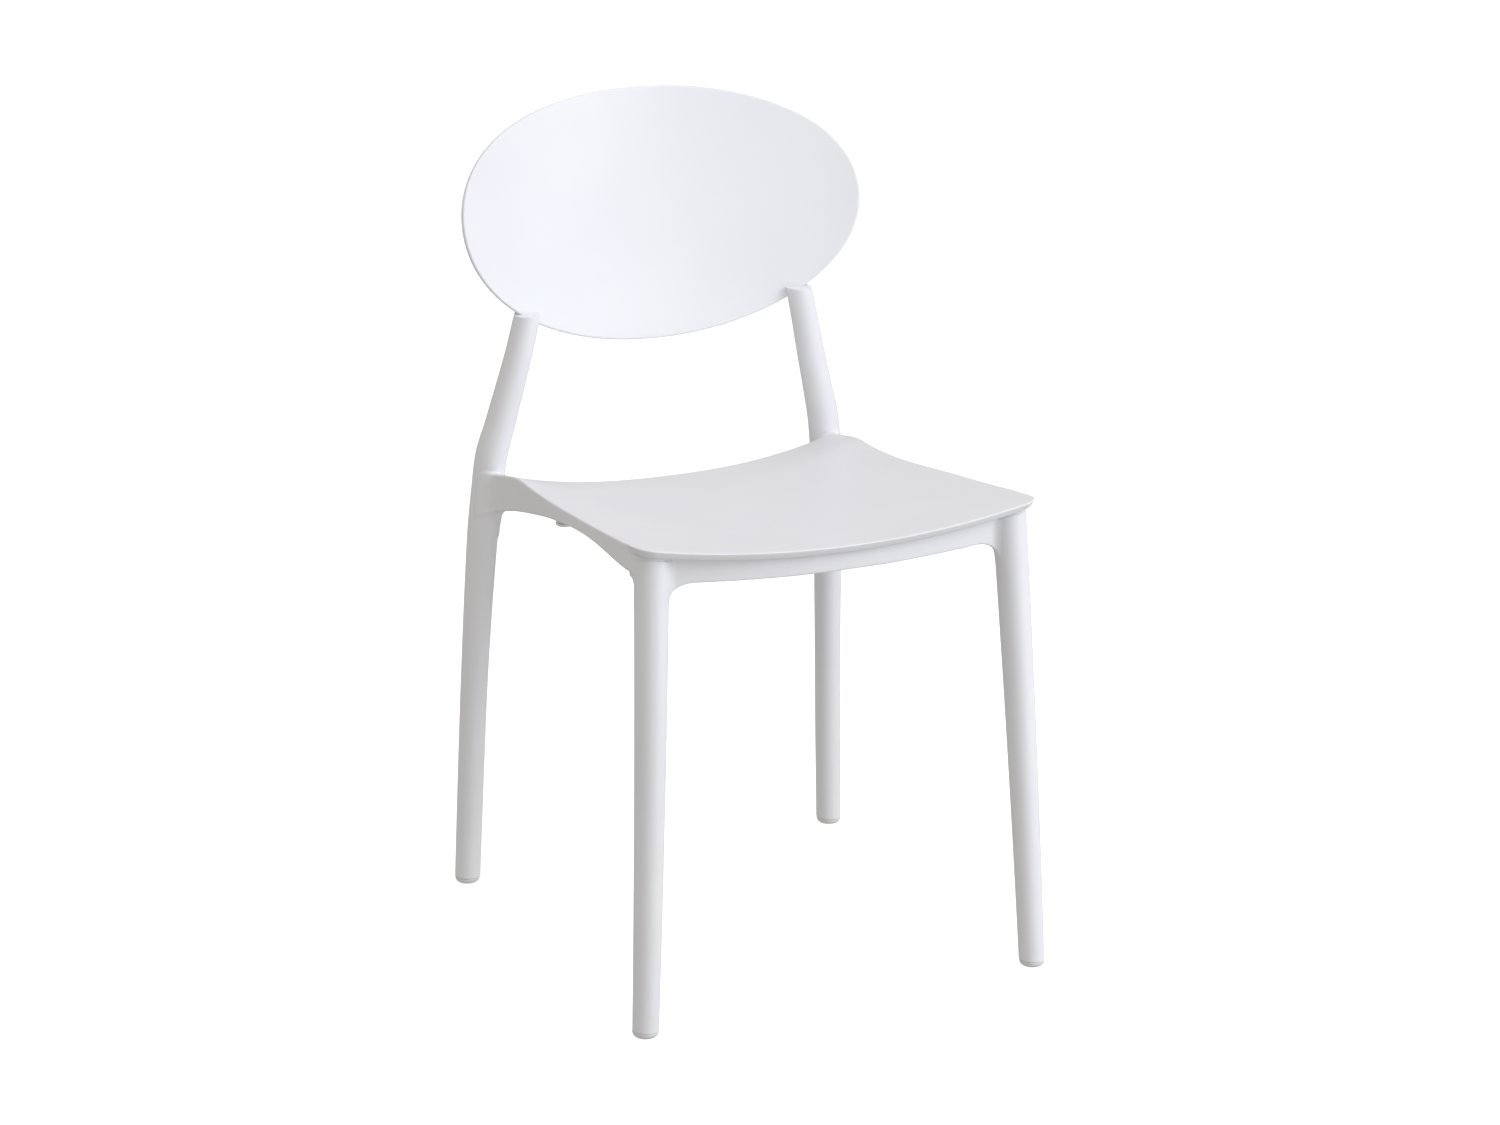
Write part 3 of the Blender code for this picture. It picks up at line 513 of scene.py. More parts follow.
def piece(name, mesh, node, finish):
    """A visible piece that stands for a CAD node."""
    obj = bpy.data.objects.new(name, mesh)
    bpy.context.scene.collection.objects.link(obj)
    mesh.materials.clear()
    mesh.materials.append(finish)
    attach(obj, "root")
    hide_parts(node)
    return obj


# Back panel

def panel_place(x, y, z):
    """Distance along the panel's curve, up its slope, and behind its front face."""
    y, z = y - PANEL_CENTRE[0], z - PANEL_CENTRE[1]
    up = y * math.sin(PANEL_LEAN) + z * math.cos(PANEL_LEAN)
    forward = z * math.sin(PANEL_LEAN) - y * math.cos(PANEL_LEAN)
    turn = np.arctan2(x, PANEL_RADIUS - forward)
    return turn * PANEL_RADIUS, up, np.hypot(x, PANEL_RADIUS - forward) - PANEL_RADIUS


def panel_point(u, v, behind):
    """The inverse of panel_place."""
    turn = u / PANEL_RADIUS
    reach = PANEL_RADIUS + behind
    forward = PANEL_RADIUS - reach * np.cos(turn)
    y = PANEL_CENTRE[0] + v * math.sin(PANEL_LEAN) - forward * math.cos(PANEL_LEAN)
    z = PANEL_CENTRE[1] + v * math.cos(PANEL_LEAN) + forward * math.sin(PANEL_LEAN)
    return reach * np.sin(turn), y, z


def panel_face_y(x, z):
    """Station of the panel's front face at a spacing and a height."""
    turn = np.arcsin(x / PANEL_RADIUS)
    forward = PANEL_RADIUS * (1 - np.cos(turn))
    v = (z - PANEL_CENTRE[1] - forward * math.sin(PANEL_LEAN)) / math.cos(PANEL_LEAN)
    return PANEL_CENTRE[0] + v * math.sin(PANEL_LEAN) - forward * math.cos(PANEL_LEAN)


def tongue_x(z):
    """Half spacing of the tongues behind the panel."""
    start_z, start_x = REAR_STATIONS[-1][:2]
    share = np.clip((z - start_z) / (TONGUE_TOP_Z - start_z), 0, 1)
    return start_x + (TONGUE_TOP_X - start_x) * (1 - (1 - share) ** TONGUE_CURVE)


def back_screw_places():
    """u and v of the back screws on the right side."""
    places = []
    for v in BACK_SCREW_V:
        height = PANEL_CENTRE[1] + v * math.cos(PANEL_LEAN)
        turn = math.asin(float(tongue_x(height)) / PANEL_RADIUS)
        places.append((turn * PANEL_RADIUS, v))
    return places


def panel_slab(u, v, w):
    """The plain panel: u across, v up and w behind its front face."""
    egg = u / (1 + PANEL_EGG * v / PANEL_HALF_HEIGHT)
    p, q = np.abs(egg) / PANEL_HALF_WIDTH, np.abs(v) / PANEL_HALF_HEIGHT
    power = p**PANEL_POWER + q**PANEL_POWER
    reach = np.maximum(power, 1e-6) ** (1 / PANEL_POWER)
    slope = reach ** (1 - PANEL_POWER) * np.hypot(
        p ** (PANEL_POWER - 1) / PANEL_HALF_WIDTH, q ** (PANEL_POWER - 1) / PANEL_HALF_HEIGHT
    )
    rim = (reach - 1) / np.maximum(slope, 1e-3)
    half = PANEL_THICKNESS / 2
    return rounded(rim, np.abs(w - half) - half, PANEL_EDGE)


def panel_field(u, v, w):
    """The panel with its screw bosses."""
    field = panel_slab(u, v, w)
    for place_u, place_v in back_screw_places():
        off = np.hypot(np.abs(u) - place_u, v - place_v)
        boss = rounded(off - BOSS_RADIUS, w - PANEL_THICKNESS - BOSS_HEIGHT, BOSS_EDGE)
        boss = np.maximum(boss, PANEL_THICKNESS / 2 - w)
        field = blended(field, boss, BOSS_FILLET)
        bore = PANEL_THICKNESS - BACK_SCREW_BORE - w
        hole = np.maximum(off - BACK_SCREW_RADIUS - GAP, bore)
        field = np.maximum(field, -hole)
    return field


def make_backrest(finish):
    def field(x, y, z):
        return panel_field(*panel_place(x, y, z))

    def place(up, across, behind):
        return panel_point(across, up, behind)

    grids = (steps(*stretches) for stretches in PANEL_GRIDS)
    points, faces = moulding(field, place, *grids, PANEL_REACH)
    mesh = smooth_mesh("back_panel", points, faces, field)
    return piece("back_panel", mesh, "backrest", finish)


# Legs

def front_axis(z):
    x = FRONT_FOOT[0] - FRONT_LEAN_IN * z
    y = FRONT_FOOT[1] + FRONT_LEAN_BACK * z + FRONT_BOW * z * z
    return x, y, FRONT_FOOT_RADIUS + FRONT_TAPER * z


def rear_axis(z):
    """The stations run straight on to the shoulder, then give way to the tongue's line."""
    top_z, top_x, top_y, _ = REAR_STATIONS[-1]
    over = np.maximum(z - top_z, 0)
    x = between(REAR_STATIONS, z, 1) - REAR_TOP_SLOPE[0] * over
    y = between(REAR_STATIONS, z, 2) - REAR_TOP_SLOPE[1] * over
    set_back = top_y - panel_face_y(top_x, top_z)
    set_back = set_back * (1 - smoothstep((z - top_z) / TONGUE_BLEND))
    inner = tongue_x(z)
    share = smoothstep((z - SHOULDER_Z + SHOULDER_LEAD) / SHOULDER_LENGTH)
    x = x + (inner - x) * share
    y = y + (panel_face_y(inner, z) + set_back - y) * share
    fade = smoothstep((z - top_z) / TONGUE_TAPER_LENGTH)
    radius = between(REAR_STATIONS, z, 3)
    return x, y, radius + (TONGUE_RADIUS - radius) * fade


def leg_surface(axis, x, y, z):
    """Distance from a leg's round skin, on either side of the chair."""
    step = 0.001
    ax, ay, radius = axis(z)
    bx, by, _ = axis(z + step)
    dx, dy = (bx - ax) / step, (by - ay) / step
    wx, wy = np.abs(x) - ax, y - ay
    along = (wx * dx + wy * dy) / np.sqrt(1 + dx * dx + dy * dy)
    return np.sqrt(np.maximum(wx * wx + wy * wy - along * along, 0)) - radius


def screw_line(axis, z, rear):
    """A right leg's axis point and the direction of its screw, towards the seat's middle."""
    x, y, _ = axis(np.array(z))
    half = math.sqrt(0.5)
    return (float(x), float(y), z), (-half, -half if rear else half, 0)


def screw_room(axis, heights, rear, x, y, z):
    """The bores for a leg's two screws and their inserts."""
    room = np.full(np.shape(x), 1.0)
    for height in heights:
        line = screw_line(axis, height, rear)
        insert = bar(x, y, z, *line, INSERT_RADIUS + GAP, INSERT_START - GAP, HOLE_MOUTH)
        tip = bar(x, y, z, *line, SCREW_RADIUS + GAP, -SCREW_RADIUS, HOLE_MOUTH)
        room = np.minimum(room, np.minimum(insert, tip))
    return room


def plug_room(axis, x, y, z):
    """The hole in a foot for its glide's plug."""
    px, py, _ = axis(np.array(0.0))
    off = np.hypot(x - px, y - py) - PLUG_RADIUS - GAP
    return np.maximum(off, z - PLUG_TOP_Z - PLUG_RADIUS / 2)


def shadow_line(above, y):
    """Distance above the groove round a front leg's top, which sinks towards the back."""
    return above + LINE_DEPTH + LINE_TILT * (y - LINE_FRONT_Y)


def front_leg_field(x, y, z):
    field = leg_surface(front_axis, x, y, z)
    groove = LINE_RADIUS - np.hypot(shadow_line(above_seat(x, y, z), y), field)
    field = rounded(field, groove, FINE_EDGE)
    field = rounded(field, z - FRONT_TOP_Z, FRONT_TOP_EDGE)
    field = rounded(field, FOOT_CUT_Z - z, FINE_EDGE)
    field = np.maximum(field, -plug_room(front_axis, x, y, z))
    return np.maximum(field, -screw_room(front_axis, FRONT_SCREW_Z, False, x, y, z))


def rear_leg_field(x, y, z):
    field = leg_surface(rear_axis, x, y, z)
    field = rounded(field, z - TONGUE_TOP_Z, TONGUE_END)
    u, v, behind = panel_place(x, y, z)
    below = blended(z - SHOULDER_Z, PANEL_THICKNESS + GAP - behind, SHOULDER_FILLET)
    field = rounded(field, below, SHOULDER_EDGE)
    field = rounded(field, GAP - panel_slab(u, v, behind), TONGUE_FACE_EDGE)
    field = rounded(field, FOOT_CUT_Z - z, FINE_EDGE)
    field = np.maximum(field, -plug_room(rear_axis, x, y, z))
    field = np.maximum(field, -screw_room(rear_axis, REAR_SCREW_Z, True, x, y, z))
    for place_u, place_v in back_screw_places():
        off = np.hypot(u - place_u, v - place_v)
        deep = behind - PANEL_THICKNESS
        boss = np.maximum(off - BOSS_RADIUS - GAP, deep - BOSS_HEIGHT - GAP)
        shank = off - BACK_SCREW_RADIUS - GAP
        head = np.maximum(off - BACK_HEAD_RADIUS - GAP, -BACK_HEAD_SEAT - deep)
        hole = np.minimum(np.minimum(boss, shank), head)
        field = rounded(field, -hole, FINE_EDGE)
    return field


def make_legs(finish):
    """The four legs. Each pair is made once, as a right leg and its mirror image."""
    plan = steps(*LEG_PLAN_GRID)
    made = {}
    for end, field, axis, heights in (
        ("front", front_leg_field, front_axis, FRONT_LEG_GRID),
        ("rear", rear_leg_field, rear_axis, REAR_LEG_GRID),
    ):
        def place(across, deep, z):
            x, y, _ = axis(z)
            return x + across, y + deep, z

        points, faces = moulding(field, place, plan, plan, steps(*heights), LEG_REACH)
        for side, sign in SIDES.items():
            node = f"{end}_leg_{side}"
            mesh = smooth_mesh(node + "_tube", points, faces, field, sign < 0)
            made[node] = piece(node + "_tube", mesh, node, finish)
    return made


# Seat

def seat_height(x, y):
    """Height of the seat's top: a saddle with raised sides."""
    share = np.clip((y - SEAT_FRONT_Y) / (SEAT_REAR_Y - SEAT_FRONT_Y), 0, 1)
    middle = SEAT_FRONT_CENTRE_Z - SEAT_FALL * (y - SEAT_FRONT_Y)
    middle = middle - SEAT_DISH * np.sin(math.pi * share)
    across = np.abs(x) / between(SEAT_EDGE, y, 1)
    gain = smoothstep((y - SADDLE_GAIN_START_Y) / SADDLE_GAIN_LENGTH)
    power = SADDLE_POWER + SADDLE_POWER_GAIN * gain
    return middle + (between(SEAT_EDGE, y, 2) - middle) * across**power


def above_seat(x, y, z):
    """Distance above the seat's top surface."""
    step = 0.0005
    height = seat_height(x, y)
    slope_x = (seat_height(x + step, y) - height) / step
    slope_y = (seat_height(x, y + step) - height) / step
    return (z - height) / np.sqrt(1 + slope_x**2 + slope_y**2)


def apron_bottom(x):
    """Lower edge of the front apron, which sweeps down into each leg."""
    share = np.minimum(np.abs(x) / APRON_HALF, 1)
    reach = (np.abs(x) - APRON_HALF + APRON_SWEEP_LENGTH) / APRON_SWEEP_LENGTH
    sweep = APRON_SWEEP_DEPTH * (1 - np.sqrt(1 - np.clip(reach, 0, 1) ** 2))
    return APRON_CENTRE_Z + (APRON_END_Z - APRON_CENTRE_Z) * share**2 - sweep


def corner_block(axis, level, shape, back, x, y, z):
    """A socket block in a corner, with a flat across it where the screw heads bear."""
    near, far, low, high, flat, bottom = shape
    axis_x, axis_y, _ = axis(np.array(level))
    across = axis_x - np.abs(x)
    deep = back * (y - axis_y)
    field = rounded(across - far, deep - high, BLOCK_EDGE)
    field = np.maximum(field, np.maximum(near - across, low - deep))
    field = rounded(field, (across + deep - flat) * math.sqrt(0.5), BLOCK_EDGE)
    return rounded(field, bottom - z, BLOCK_BOTTOM_EDGE)


def seat_ribs(x, y, top):
    """Two long ribs and two cross ribs under the sheet."""
    half = RIB_THICKNESS / 2
    depth = -(top + SEAT_THICKNESS + RIB_DEPTH)
    ends = np.maximum(RIB_ENDS[0] - y, y - RIB_ENDS[1])
    field = rounded(np.abs(np.abs(x) - RIB_X - half) - half, depth, RIB_EDGE)
    field = np.maximum(field, ends)
    for station in RIB_Y:
        cross_depth = -(top + SEAT_THICKNESS + CROSS_RIB_DEPTH)
        rib = rounded(np.abs(y - station - half) - half, cross_depth, RIB_EDGE)
        field = np.minimum(field, rib)
    return field


def off_bumper(x, y):
    """Distance from a bumper's upright middle line, on either side."""
    return np.hypot(np.abs(x) - BUMPER_PLACE[0], y - BUMPER_PLACE[1])


def seat_side(edge, stem, y):
    """Distance outside the side wall, which flares out to meet the rear leg's skin."""
    inset = GAP + RAIL_SET_BACK * smoothstep((RAIL_SET_BACK_Y - y) / RAIL_SET_BACK_LENGTH)
    flare = stem + FLARE_END_DROP * smoothstep((y - FLARE_END_Y) / FLARE_END_LENGTH)
    return blended(edge + inset, flare, REAR_FLARE)


def seat_shell(top, side, x, y, z):
    """The hollow seat without its lip: sheet, rails, webs, aprons, ribs and blocks."""
    over = rounded(top, y - SEAT_REAR_Y, SEAT_ROLL_RADIUS)
    bulge = APRON_BOW * (1 - np.minimum(np.abs(x) / APRON_HALF, 1) ** 2)
    front = APRON_Y - bulge - y
    to_rear = smoothstep((y - REAR_EDGE_START_Y) / REAR_EDGE_LENGTH)
    soft = SIDE_EDGE_RADIUS + (REAR_EDGE_RADIUS - SIDE_EDGE_RADIUS) * to_rear
    body = rounded(over, rounded(side, front, WALL_CORNER_RADIUS), soft)
    sheet = rounded(-(over + SEAT_THICKNESS), REAR_APRON_BOTTOM_Z - z, WALL_EDGE)
    rail = rounded(-(side + WALL_THICKNESS), between(RAIL_BOTTOM, y, 1) - z, WALL_EDGE)
    web = np.abs(side + WEB_INSET + WEB_THICKNESS / 2) - WEB_THICKNESS / 2
    web = np.maximum(web, WEB_BOTTOM[0][0] - y)
    web = rounded(web, between(WEB_BOTTOM, y, 1) - z, WEB_EDGE)
    apron = rounded(-(front + WALL_THICKNESS), apron_bottom(x) - z, WALL_EDGE)
    walls = blended(sheet, np.minimum(np.minimum(rail, web), apron), WALL_FILLET)
    walls = blended(walls, seat_ribs(x, y, top), RIB_FILLET)
    front_block = corner_block(front_axis, FRONT_SCREW_Z[0], FRONT_BLOCK, 1, x, y, z)
    rear_block = corner_block(rear_axis, REAR_SCREW_Z[1], REAR_BLOCK, -1, x, y, z)
    walls = np.minimum(walls, np.minimum(front_block, rear_block))
    boss = np.maximum(off_bumper(x, y) - BUMPER_RADIUS, BUMPER_SHELF_Z - z)
    shell = rounded(body, np.minimum(walls, boss), SHELL_EDGE)
    return np.minimum(shell, np.maximum(boss, top + SEAT_THICKNESS / 2))


def with_sockets(shell, stem, top, x, y, z):
    """The shell with fillets that run down the legs, and a step behind the shadow lines."""
    near_line = 1 - smoothstep((np.abs(shadow_line(top, y)) - LINE_RADIUS) / LINE_FADE)
    tube = leg_surface(front_axis, x, y, z) + TUBE_INSET + LINE_ROOM * near_line
    ends = np.maximum(FRONT_TUBE_BOTTOM_Z - z, z - FRONT_TOP_Z + FRONT_TOP_EDGE)
    fillet = FRONT_FILLET * smoothstep((-top - FRONT_FILLET_DEPTH) / FRONT_FILLET_FADE)
    shell = blended(shell, np.maximum(tube, ends), fillet + SLIGHT_REACH)
    ends = np.maximum(REAR_TUBE_Z[0] - z, z - REAR_TUBE_Z[1])
    fillet = REAR_FILLET_GAIN * smoothstep((REAR_FILLET_Z - z) / REAR_FILLET_FADE)
    return blended(shell, np.maximum(stem, ends), REAR_FILLET + fillet)


def seat_lip(top, edge, x, y):
    """The thick front lip, whose face leans in under the seat's edge."""
    ahead = SEAT_FRONT_Y + SEAT_FRONT_BOW * x * x - y
    ahead = ahead / np.sqrt(1 + (2 * SEAT_FRONT_BOW * x) ** 2)
    outline = rounded(edge, ahead, SEAT_CORNER_RADIUS)
    sunk = LIP_SINK * smoothstep((y - LIP_SINK_Y) / LIP_SINK_LENGTH)
    face = (outline + sunk) * math.cos(LIP_LEAN) - top * math.sin(LIP_LEAN)
    lip = rounded(face, top, LIP_EDGE)
    lip = rounded(lip, -(top + LIP_THICKNESS), LIP_ROLL)
    return np.maximum(lip, np.maximum(-outline - LIP_DEPTH, y - LIP_END_Y))


def seat_holes(x, y, z):
    """The holes for the bumpers' stems and the leg screws."""
    holes = off_bumper(x, y) - BUMPER_STEM_RADIUS - GAP
    holes = np.maximum(holes, z - BUMPER_SHELF_Z - BUMPER_STEM_HEIGHT)
    for axis, heights, rear_end in (
        (front_axis, FRONT_SCREW_Z, False),
        (rear_axis, REAR_SCREW_Z, True),
    ):
        for height in heights:
            screw = screw_line(axis, height, rear_end)
            way = bar(np.abs(x), y, z, *screw, SCREW_RADIUS + GAP, 0, SCREW_WAY)
            holes = np.minimum(holes, way)
    return holes


def seat_field(x, y, z):
    top = above_seat(x, y, z)
    edge = np.abs(x) - between(SEAT_EDGE, y, 1)
    stem = leg_surface(rear_axis, x, y, z) + TUBE_INSET
    shell = seat_shell(top, seat_side(edge, stem, y), x, y, z)
    shell = with_sockets(shell, stem, top, x, y, z)
    fillet = LIP_FILLET * smoothstep((-top - LIP_FILLET_DEPTH) / LIP_FILLET_DEPTH)
    field = blended(shell, seat_lip(top, edge, x, y), SLIGHT_REACH + fillet)
    return np.maximum(field, -seat_holes(x, y, z))


def cut_out(obj, others, field):
    """Cuts other pieces' shapes out of a piece, which keeps its field's normals."""
    for other in others:
        modifier = obj.modifiers.new("room", "BOOLEAN")
        modifier.operation = "DIFFERENCE"
        modifier.solver = "EXACT"
        modifier.object = other
    bpy.context.view_layer.update()
    evaluated = obj.evaluated_get(bpy.context.evaluated_depsgraph_get())
    mesh = bpy.data.meshes.new_from_object(evaluated)
    obj.modifiers.clear()
    obj.data = mesh
    points = np.array([vertex.co for vertex in mesh.vertices]) - np.array(OFFSET)
    normals = gradient(field, points)
    normals /= np.maximum(np.linalg.norm(normals, axis=1), 1e-9)[:, None]
    off_skin = np.abs(field(*points.T)) > SKIN_TOLERANCE
    plain = np.array([vertex.normal for vertex in mesh.vertices])
    normals[off_skin] = plain[off_skin]
    mesh.normals_split_custom_set_from_vertices(normals.tolist())


def make_seat(finish, legs):
    def place(share, y, above):
        x = share * between(SEAT_EDGE, y, 1)
        return x, y, seat_height(x, y) + above

    grids = (steps(*stretches) for stretches in SEAT_GRIDS)
    points, faces = moulding(seat_field, place, *grids, SEAT_REACH)
    mesh = smooth_mesh("seat_moulding", points, faces, seat_field)
    seat = piece("seat_moulding", mesh, "seat_shell", finish)
    cut_out(seat, legs, seat_field)
    return seat


# Small pieces

def turned(name, profile, sides, at):
    """A solid of revolution about an upright axis, from a profile that runs top to bottom."""
    bm = bmesh.new()
    rings = []
    for radius, height in profile:
        ring = []
        for i in range(sides if radius else 1):
            angle = 2 * math.pi * i / sides
            spot = Vector((radius * math.cos(angle), radius * math.sin(angle), height))
            ring.append(bm.verts.new(spot + Vector(at)))
        rings.append(ring)
    for upper, lower in zip(rings, rings[1:]):
        for i in range(sides):
            j = (i + 1) % sides
            corners = [upper[i % len(upper)], lower[i % len(lower)]]
            if len(lower) > 1:
                corners.append(lower[j])
            if len(upper) > 1:
                corners.append(upper[j])
            bm.faces.new(corners)
    bmesh.ops.recalc_face_normals(bm, faces=bm.faces)
    mesh = bpy.data.meshes.new(name)
    bm.to_mesh(mesh)
    bm.free()
    mesh.shade_smooth()
    mesh.set_sharp_from_angle(angle=math.radians(40))
    return mesh


def arc(centre_radius, centre_height, radius, start, end, count):
    """Profile points round an arc, with angles in degrees from the outward direction."""
    points = []
    for angle in np.radians(np.linspace(start, end, count)):
        points.append(
            (centre_radius + radius * math.cos(angle), centre_height + radius * math.sin(angle))
        )
    return points


def make_glides(finish):
    rim = FRONT_FOOT_RADIUS
    profile = [(0, PLUG_TOP_Z)]
    profile += arc(PLUG_RADIUS - PLUG_EDGE, PLUG_TOP_Z - PLUG_EDGE, PLUG_EDGE, 90, 0, 5)
    profile.append((PLUG_RADIUS, GLIDE_HEIGHT))
    profile += arc(rim - FINE_EDGE, GLIDE_HEIGHT - FINE_EDGE, FINE_EDGE, 90, 0, 3)
    profile += arc(rim - GLIDE_EDGE, GLIDE_EDGE, GLIDE_EDGE, 0, -90, 12)
    profile.append((0, 0))
    for end in ("front", "rear"):
        for side in SIDES:
            node = f"glide_{end}_{side}"
            spot = centre(node)
            mesh = turned(node + "_foot", profile, 64, (spot.x, spot.y, 0))
            piece(node + "_foot", mesh, node, finish)


def make_bumpers(finish):
    top = BUMPER_BOTTOM_Z + BUMPER_HEAD_HEIGHT
    stem_top = top + BUMPER_STEM_HEIGHT - GAP
    soft = BUMPER_STEM_EDGE
    profile = [(0, stem_top)]
    profile += arc(BUMPER_STEM_RADIUS - soft, stem_top - soft, soft, 90, 0, 4)
    profile.append((BUMPER_STEM_RADIUS, top))
    profile += arc(BUMPER_RADIUS - BUMPER_EDGE, top - BUMPER_EDGE, BUMPER_EDGE, 90, 0, 4)
    round_height = BUMPER_HEAD_HEIGHT - BUMPER_BAND
    for angle in np.radians(np.linspace(0, 90, 12))[:-1]:
        height = BUMPER_BOTTOM_Z + round_height * (1 - math.sin(angle))
        profile.append((BUMPER_RADIUS * math.cos(angle), height))
    profile.append((0, BUMPER_BOTTOM_Z))
    for side in SIDES:
        node = "bumper_" + side
        spot = centre(node)
        mesh = turned(node + "_pad", profile, 48, (spot.x, spot.y, 0))
        piece(node + "_pad", mesh, node, finish)


# Materials

def new_material(name, colour, roughness, metallic=0.0):
    made = bpy.data.materials.new(name)
    made.use_nodes = True
    shader = made.node_tree.nodes["Principled BSDF"]
    shader.inputs["Base Color"].default_value = (*colour, 1)
    shader.inputs["Roughness"].default_value = roughness
    shader.inputs["Metallic"].default_value = metallic
    return made, made.node_tree.nodes, made.node_tree.links, shader


def noise(nodes, links, place, scale, detail, roughness=0.5):
    node = nodes.new("ShaderNodeTexNoise")
    node.inputs["Scale"].default_value = scale
    node.inputs["Detail"].default_value = detail
    node.inputs["Roughness"].default_value = roughness
    links.new(place.outputs["Object"], node.inputs["Vector"])
    return node


def ramp(nodes, links, source, low, high):
    """Colours or grey values from a noise's spread."""
    node = nodes.new("ShaderNodeValToRGB")
    node.color_ramp.interpolation = "EASE"
    node.color_ramp.elements[0].position = 0.15
    node.color_ramp.elements[1].position = 0.85
    for element, value in zip(node.color_ramp.elements, (low, high)):
        element.color = (*value, 1) if isinstance(value, tuple) else (value, value, value, 1)
    links.new(source.outputs["Fac"], node.inputs["Fac"])
    return node


def bumps(nodes, links, shader, layers):
    """Stacked bump layers of (source, distance)."""
    normal = None
    for source, distance in layers:
        node = nodes.new("ShaderNodeBump")
        node.inputs["Distance"].default_value = distance
        links.new(source.outputs["Fac"], node.inputs["Height"])
        if normal:
            links.new(normal.outputs["Normal"], node.inputs["Normal"])
        normal = node
    links.new(normal.outputs["Normal"], shader.inputs["Normal"])


def moulded_plastic(name, light, dark, smooth, rough, subsurface):
    """Satin moulded plastic: a fine spark texture, slow flow waves and faint handling marks."""
    made, nodes, links, shader = new_material(name, light, smooth)
    place = nodes.new("ShaderNodeTexCoord")
    flow = noise(nodes, links, place, 9, 1)
    links.new(ramp(nodes, links, flow, dark, light).outputs["Color"], shader.inputs["Base Color"])
    marks = noise(nodes, links, place, 24, 1)
    polish = ramp(nodes, links, marks, smooth, rough)
    links.new(polish.outputs["Color"], shader.inputs["Roughness"])
    spark = noise(nodes, links, place, 420, 1)
    waves = noise(nodes, links, place, 30, 1)
    bumps(nodes, links, shader, [(waves, 0.00006), (spark, 0.000008)])
    shader.inputs["IOR"].default_value = 1.49
    shader.inputs["Subsurface Weight"].default_value = subsurface
    shader.inputs["Subsurface Radius"].default_value = (1.0, 0.9, 0.8)
    shader.inputs["Subsurface Scale"].default_value = 0.003
    return made


def metal(name, light, dark, smooth, rough):
    """Plated or turned metal with fine tool marks and tarnish."""
    made, nodes, links, shader = new_material(name, light, smooth, 1.0)
    place = nodes.new("ShaderNodeTexCoord")
    tarnish = noise(nodes, links, place, 220, 4)
    colour = ramp(nodes, links, tarnish, dark, light)
    links.new(colour.outputs["Color"], shader.inputs["Base Color"])
    marks = noise(nodes, links, place, 1400, 3)
    links.new(ramp(nodes, links, marks, smooth, rough).outputs["Color"], shader.inputs["Roughness"])
    bumps(nodes, links, shader, [(marks, 0.00004)])
    return made


# The chair

white = moulded_plastic(
    "white_polypropylene", light=(0.86, 0.875, 0.905), dark=(0.83, 0.845, 0.88),
    smooth=0.38, rough=0.46, subsurface=0.0,
)
glide_white = moulded_plastic(
    "glide_nylon", light=(0.80, 0.81, 0.82), dark=(0.75, 0.76, 0.77),
    smooth=0.42, rough=0.55, subsurface=0.03,
)
rubber = moulded_plastic(
    "bumper_rubber", light=(0.86, 0.86, 0.86), dark=(0.80, 0.80, 0.80),
    smooth=0.6, rough=0.75, subsurface=0.0,
)
zinc = metal(
    "zinc_plate", light=(0.66, 0.67, 0.69), dark=(0.52, 0.53, 0.55), smooth=0.25, rough=0.42
)
brass = metal(
    "turned_brass", light=(0.75, 0.58, 0.28), dark=(0.60, 0.44, 0.20), smooth=0.22, rough=0.40
)

leg_pieces = make_legs(white)
make_backrest(white)
make_seat(white, leg_pieces.values())
make_glides(glide_white)
make_bumpers(rubber)
for node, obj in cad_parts.items():
    if "screw" in node or node.startswith("insert"):
        obj.data.materials.clear()
        obj.data.materials.append(brass if node.startswith("insert") else zinc)


# Floor, light and camera

def make_floor():
    bpy.ops.mesh.primitive_plane_add(size=FLOOR_SIZE)
    floor = bpy.context.object
    floor.name = "floor"
    floor.visible_diffuse = False
    floor.visible_glossy = False
    made, _, _, shader = new_material("floor", (0.9, 0.9, 0.9), 0.9)
    shader.inputs["Specular IOR Level"].default_value = 0.1
    shader.inputs["Emission Color"].default_value = (1, 1, 1, 1)
    shader.inputs["Emission Strength"].default_value = FLOOR_GLOW
    floor.data.materials.append(made)


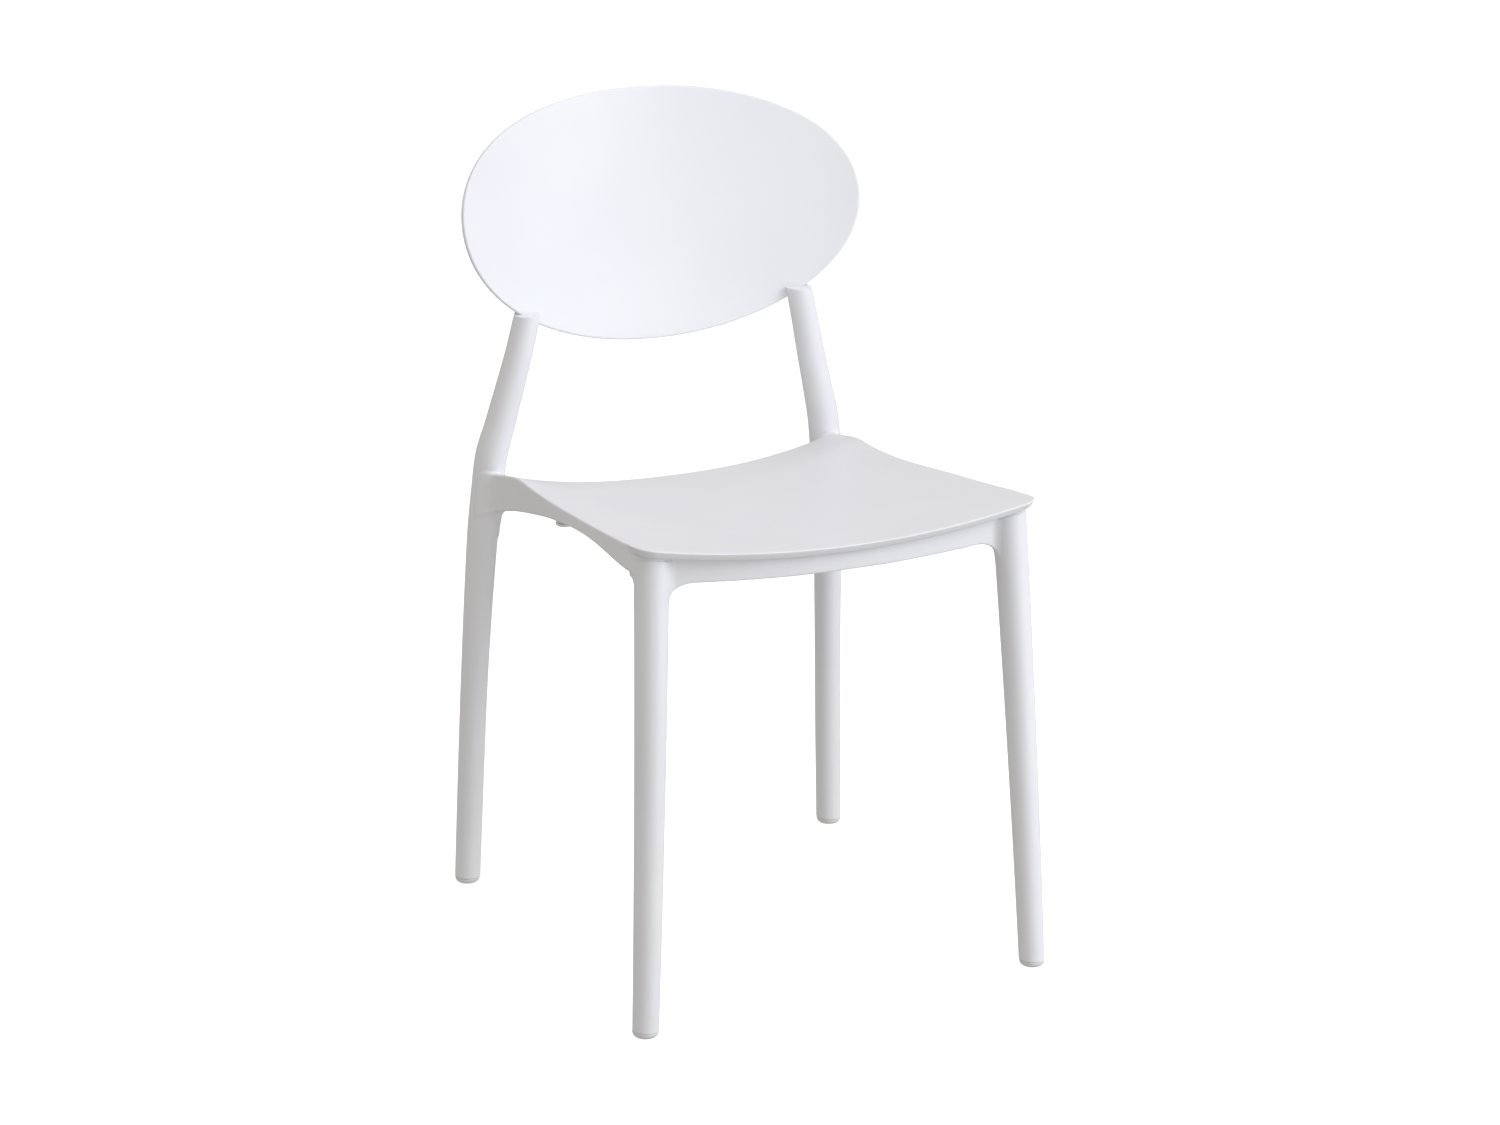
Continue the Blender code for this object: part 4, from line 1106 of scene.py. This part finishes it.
def area_light(name, spot, aim_z, size, power):
    light = bpy.data.lights.new(name, "AREA")
    light.shape = "RECTANGLE"
    light.size, light.size_y = size
    light.energy = power
    light.color = LIGHT_COLOUR
    obj = bpy.data.objects.new(name, light)
    obj.location = spot
    aim = Vector((0, 0, aim_z)) - Vector(spot)
    obj.rotation_euler = aim.to_track_quat("-Z", "Y").to_euler()
    bpy.context.scene.collection.objects.link(obj)


def make_world(below, above):
    """Even studio light, dimmer from below the horizon than from above it."""
    world = bpy.data.worlds.new("studio")
    world.use_nodes = True
    nodes, links = world.node_tree.nodes, world.node_tree.links
    place = nodes.new("ShaderNodeTexCoord")
    split = nodes.new("ShaderNodeSeparateXYZ")
    links.new(place.outputs["Generated"], split.inputs["Vector"])
    spread = nodes.new("ShaderNodeMapRange")
    spread.inputs["From Min"].default_value = -WORLD_BLEND
    spread.inputs["From Max"].default_value = WORLD_BLEND
    spread.inputs["To Min"].default_value = below
    spread.inputs["To Max"].default_value = above
    links.new(split.outputs["Z"], spread.inputs["Value"])
    background = nodes["Background"]
    background.inputs["Color"].default_value = WORLD_COLOUR
    links.new(spread.outputs["Result"], background.inputs["Strength"])
    bpy.context.scene.world = world


def make_camera():
    """The camera stands a little left of the front and looks down on the chair."""
    target = Vector((0, 0, CAMERA_TARGET_Z)) + OFFSET
    back = Vector((
        math.sin(CAMERA_AZIMUTH) * math.cos(CAMERA_ELEVATION),
        -math.cos(CAMERA_AZIMUTH) * math.cos(CAMERA_ELEVATION),
        math.sin(CAMERA_ELEVATION),
    ))
    level = (-back).cross(Vector((0, 0, 1))).normalized()
    up = level.cross(-back)
    right = math.cos(CAMERA_ROLL) * level + math.sin(CAMERA_ROLL) * up
    above = math.cos(CAMERA_ROLL) * up - math.sin(CAMERA_ROLL) * level
    data = bpy.data.cameras.new("camera")
    data.sensor_width = SENSOR_WIDTH
    data.lens = SENSOR_WIDTH * FOCAL_SHARE
    camera = bpy.data.objects.new("camera", data)
    turn = Matrix((right, above, back)).transposed()
    camera.matrix_world = Matrix.Translation(target + back * CAMERA_DISTANCE) @ turn.to_4x4()
    bpy.context.scene.collection.objects.link(camera)
    bpy.context.scene.camera = camera


make_floor()
make_world(*WORLD_STRENGTHS)
for name, (spot, aim_z, size, power) in LIGHTS.items():
    area_light(name, spot, aim_z, size, power)
make_camera()
bpy.context.scene.view_settings.view_transform = "Standard"
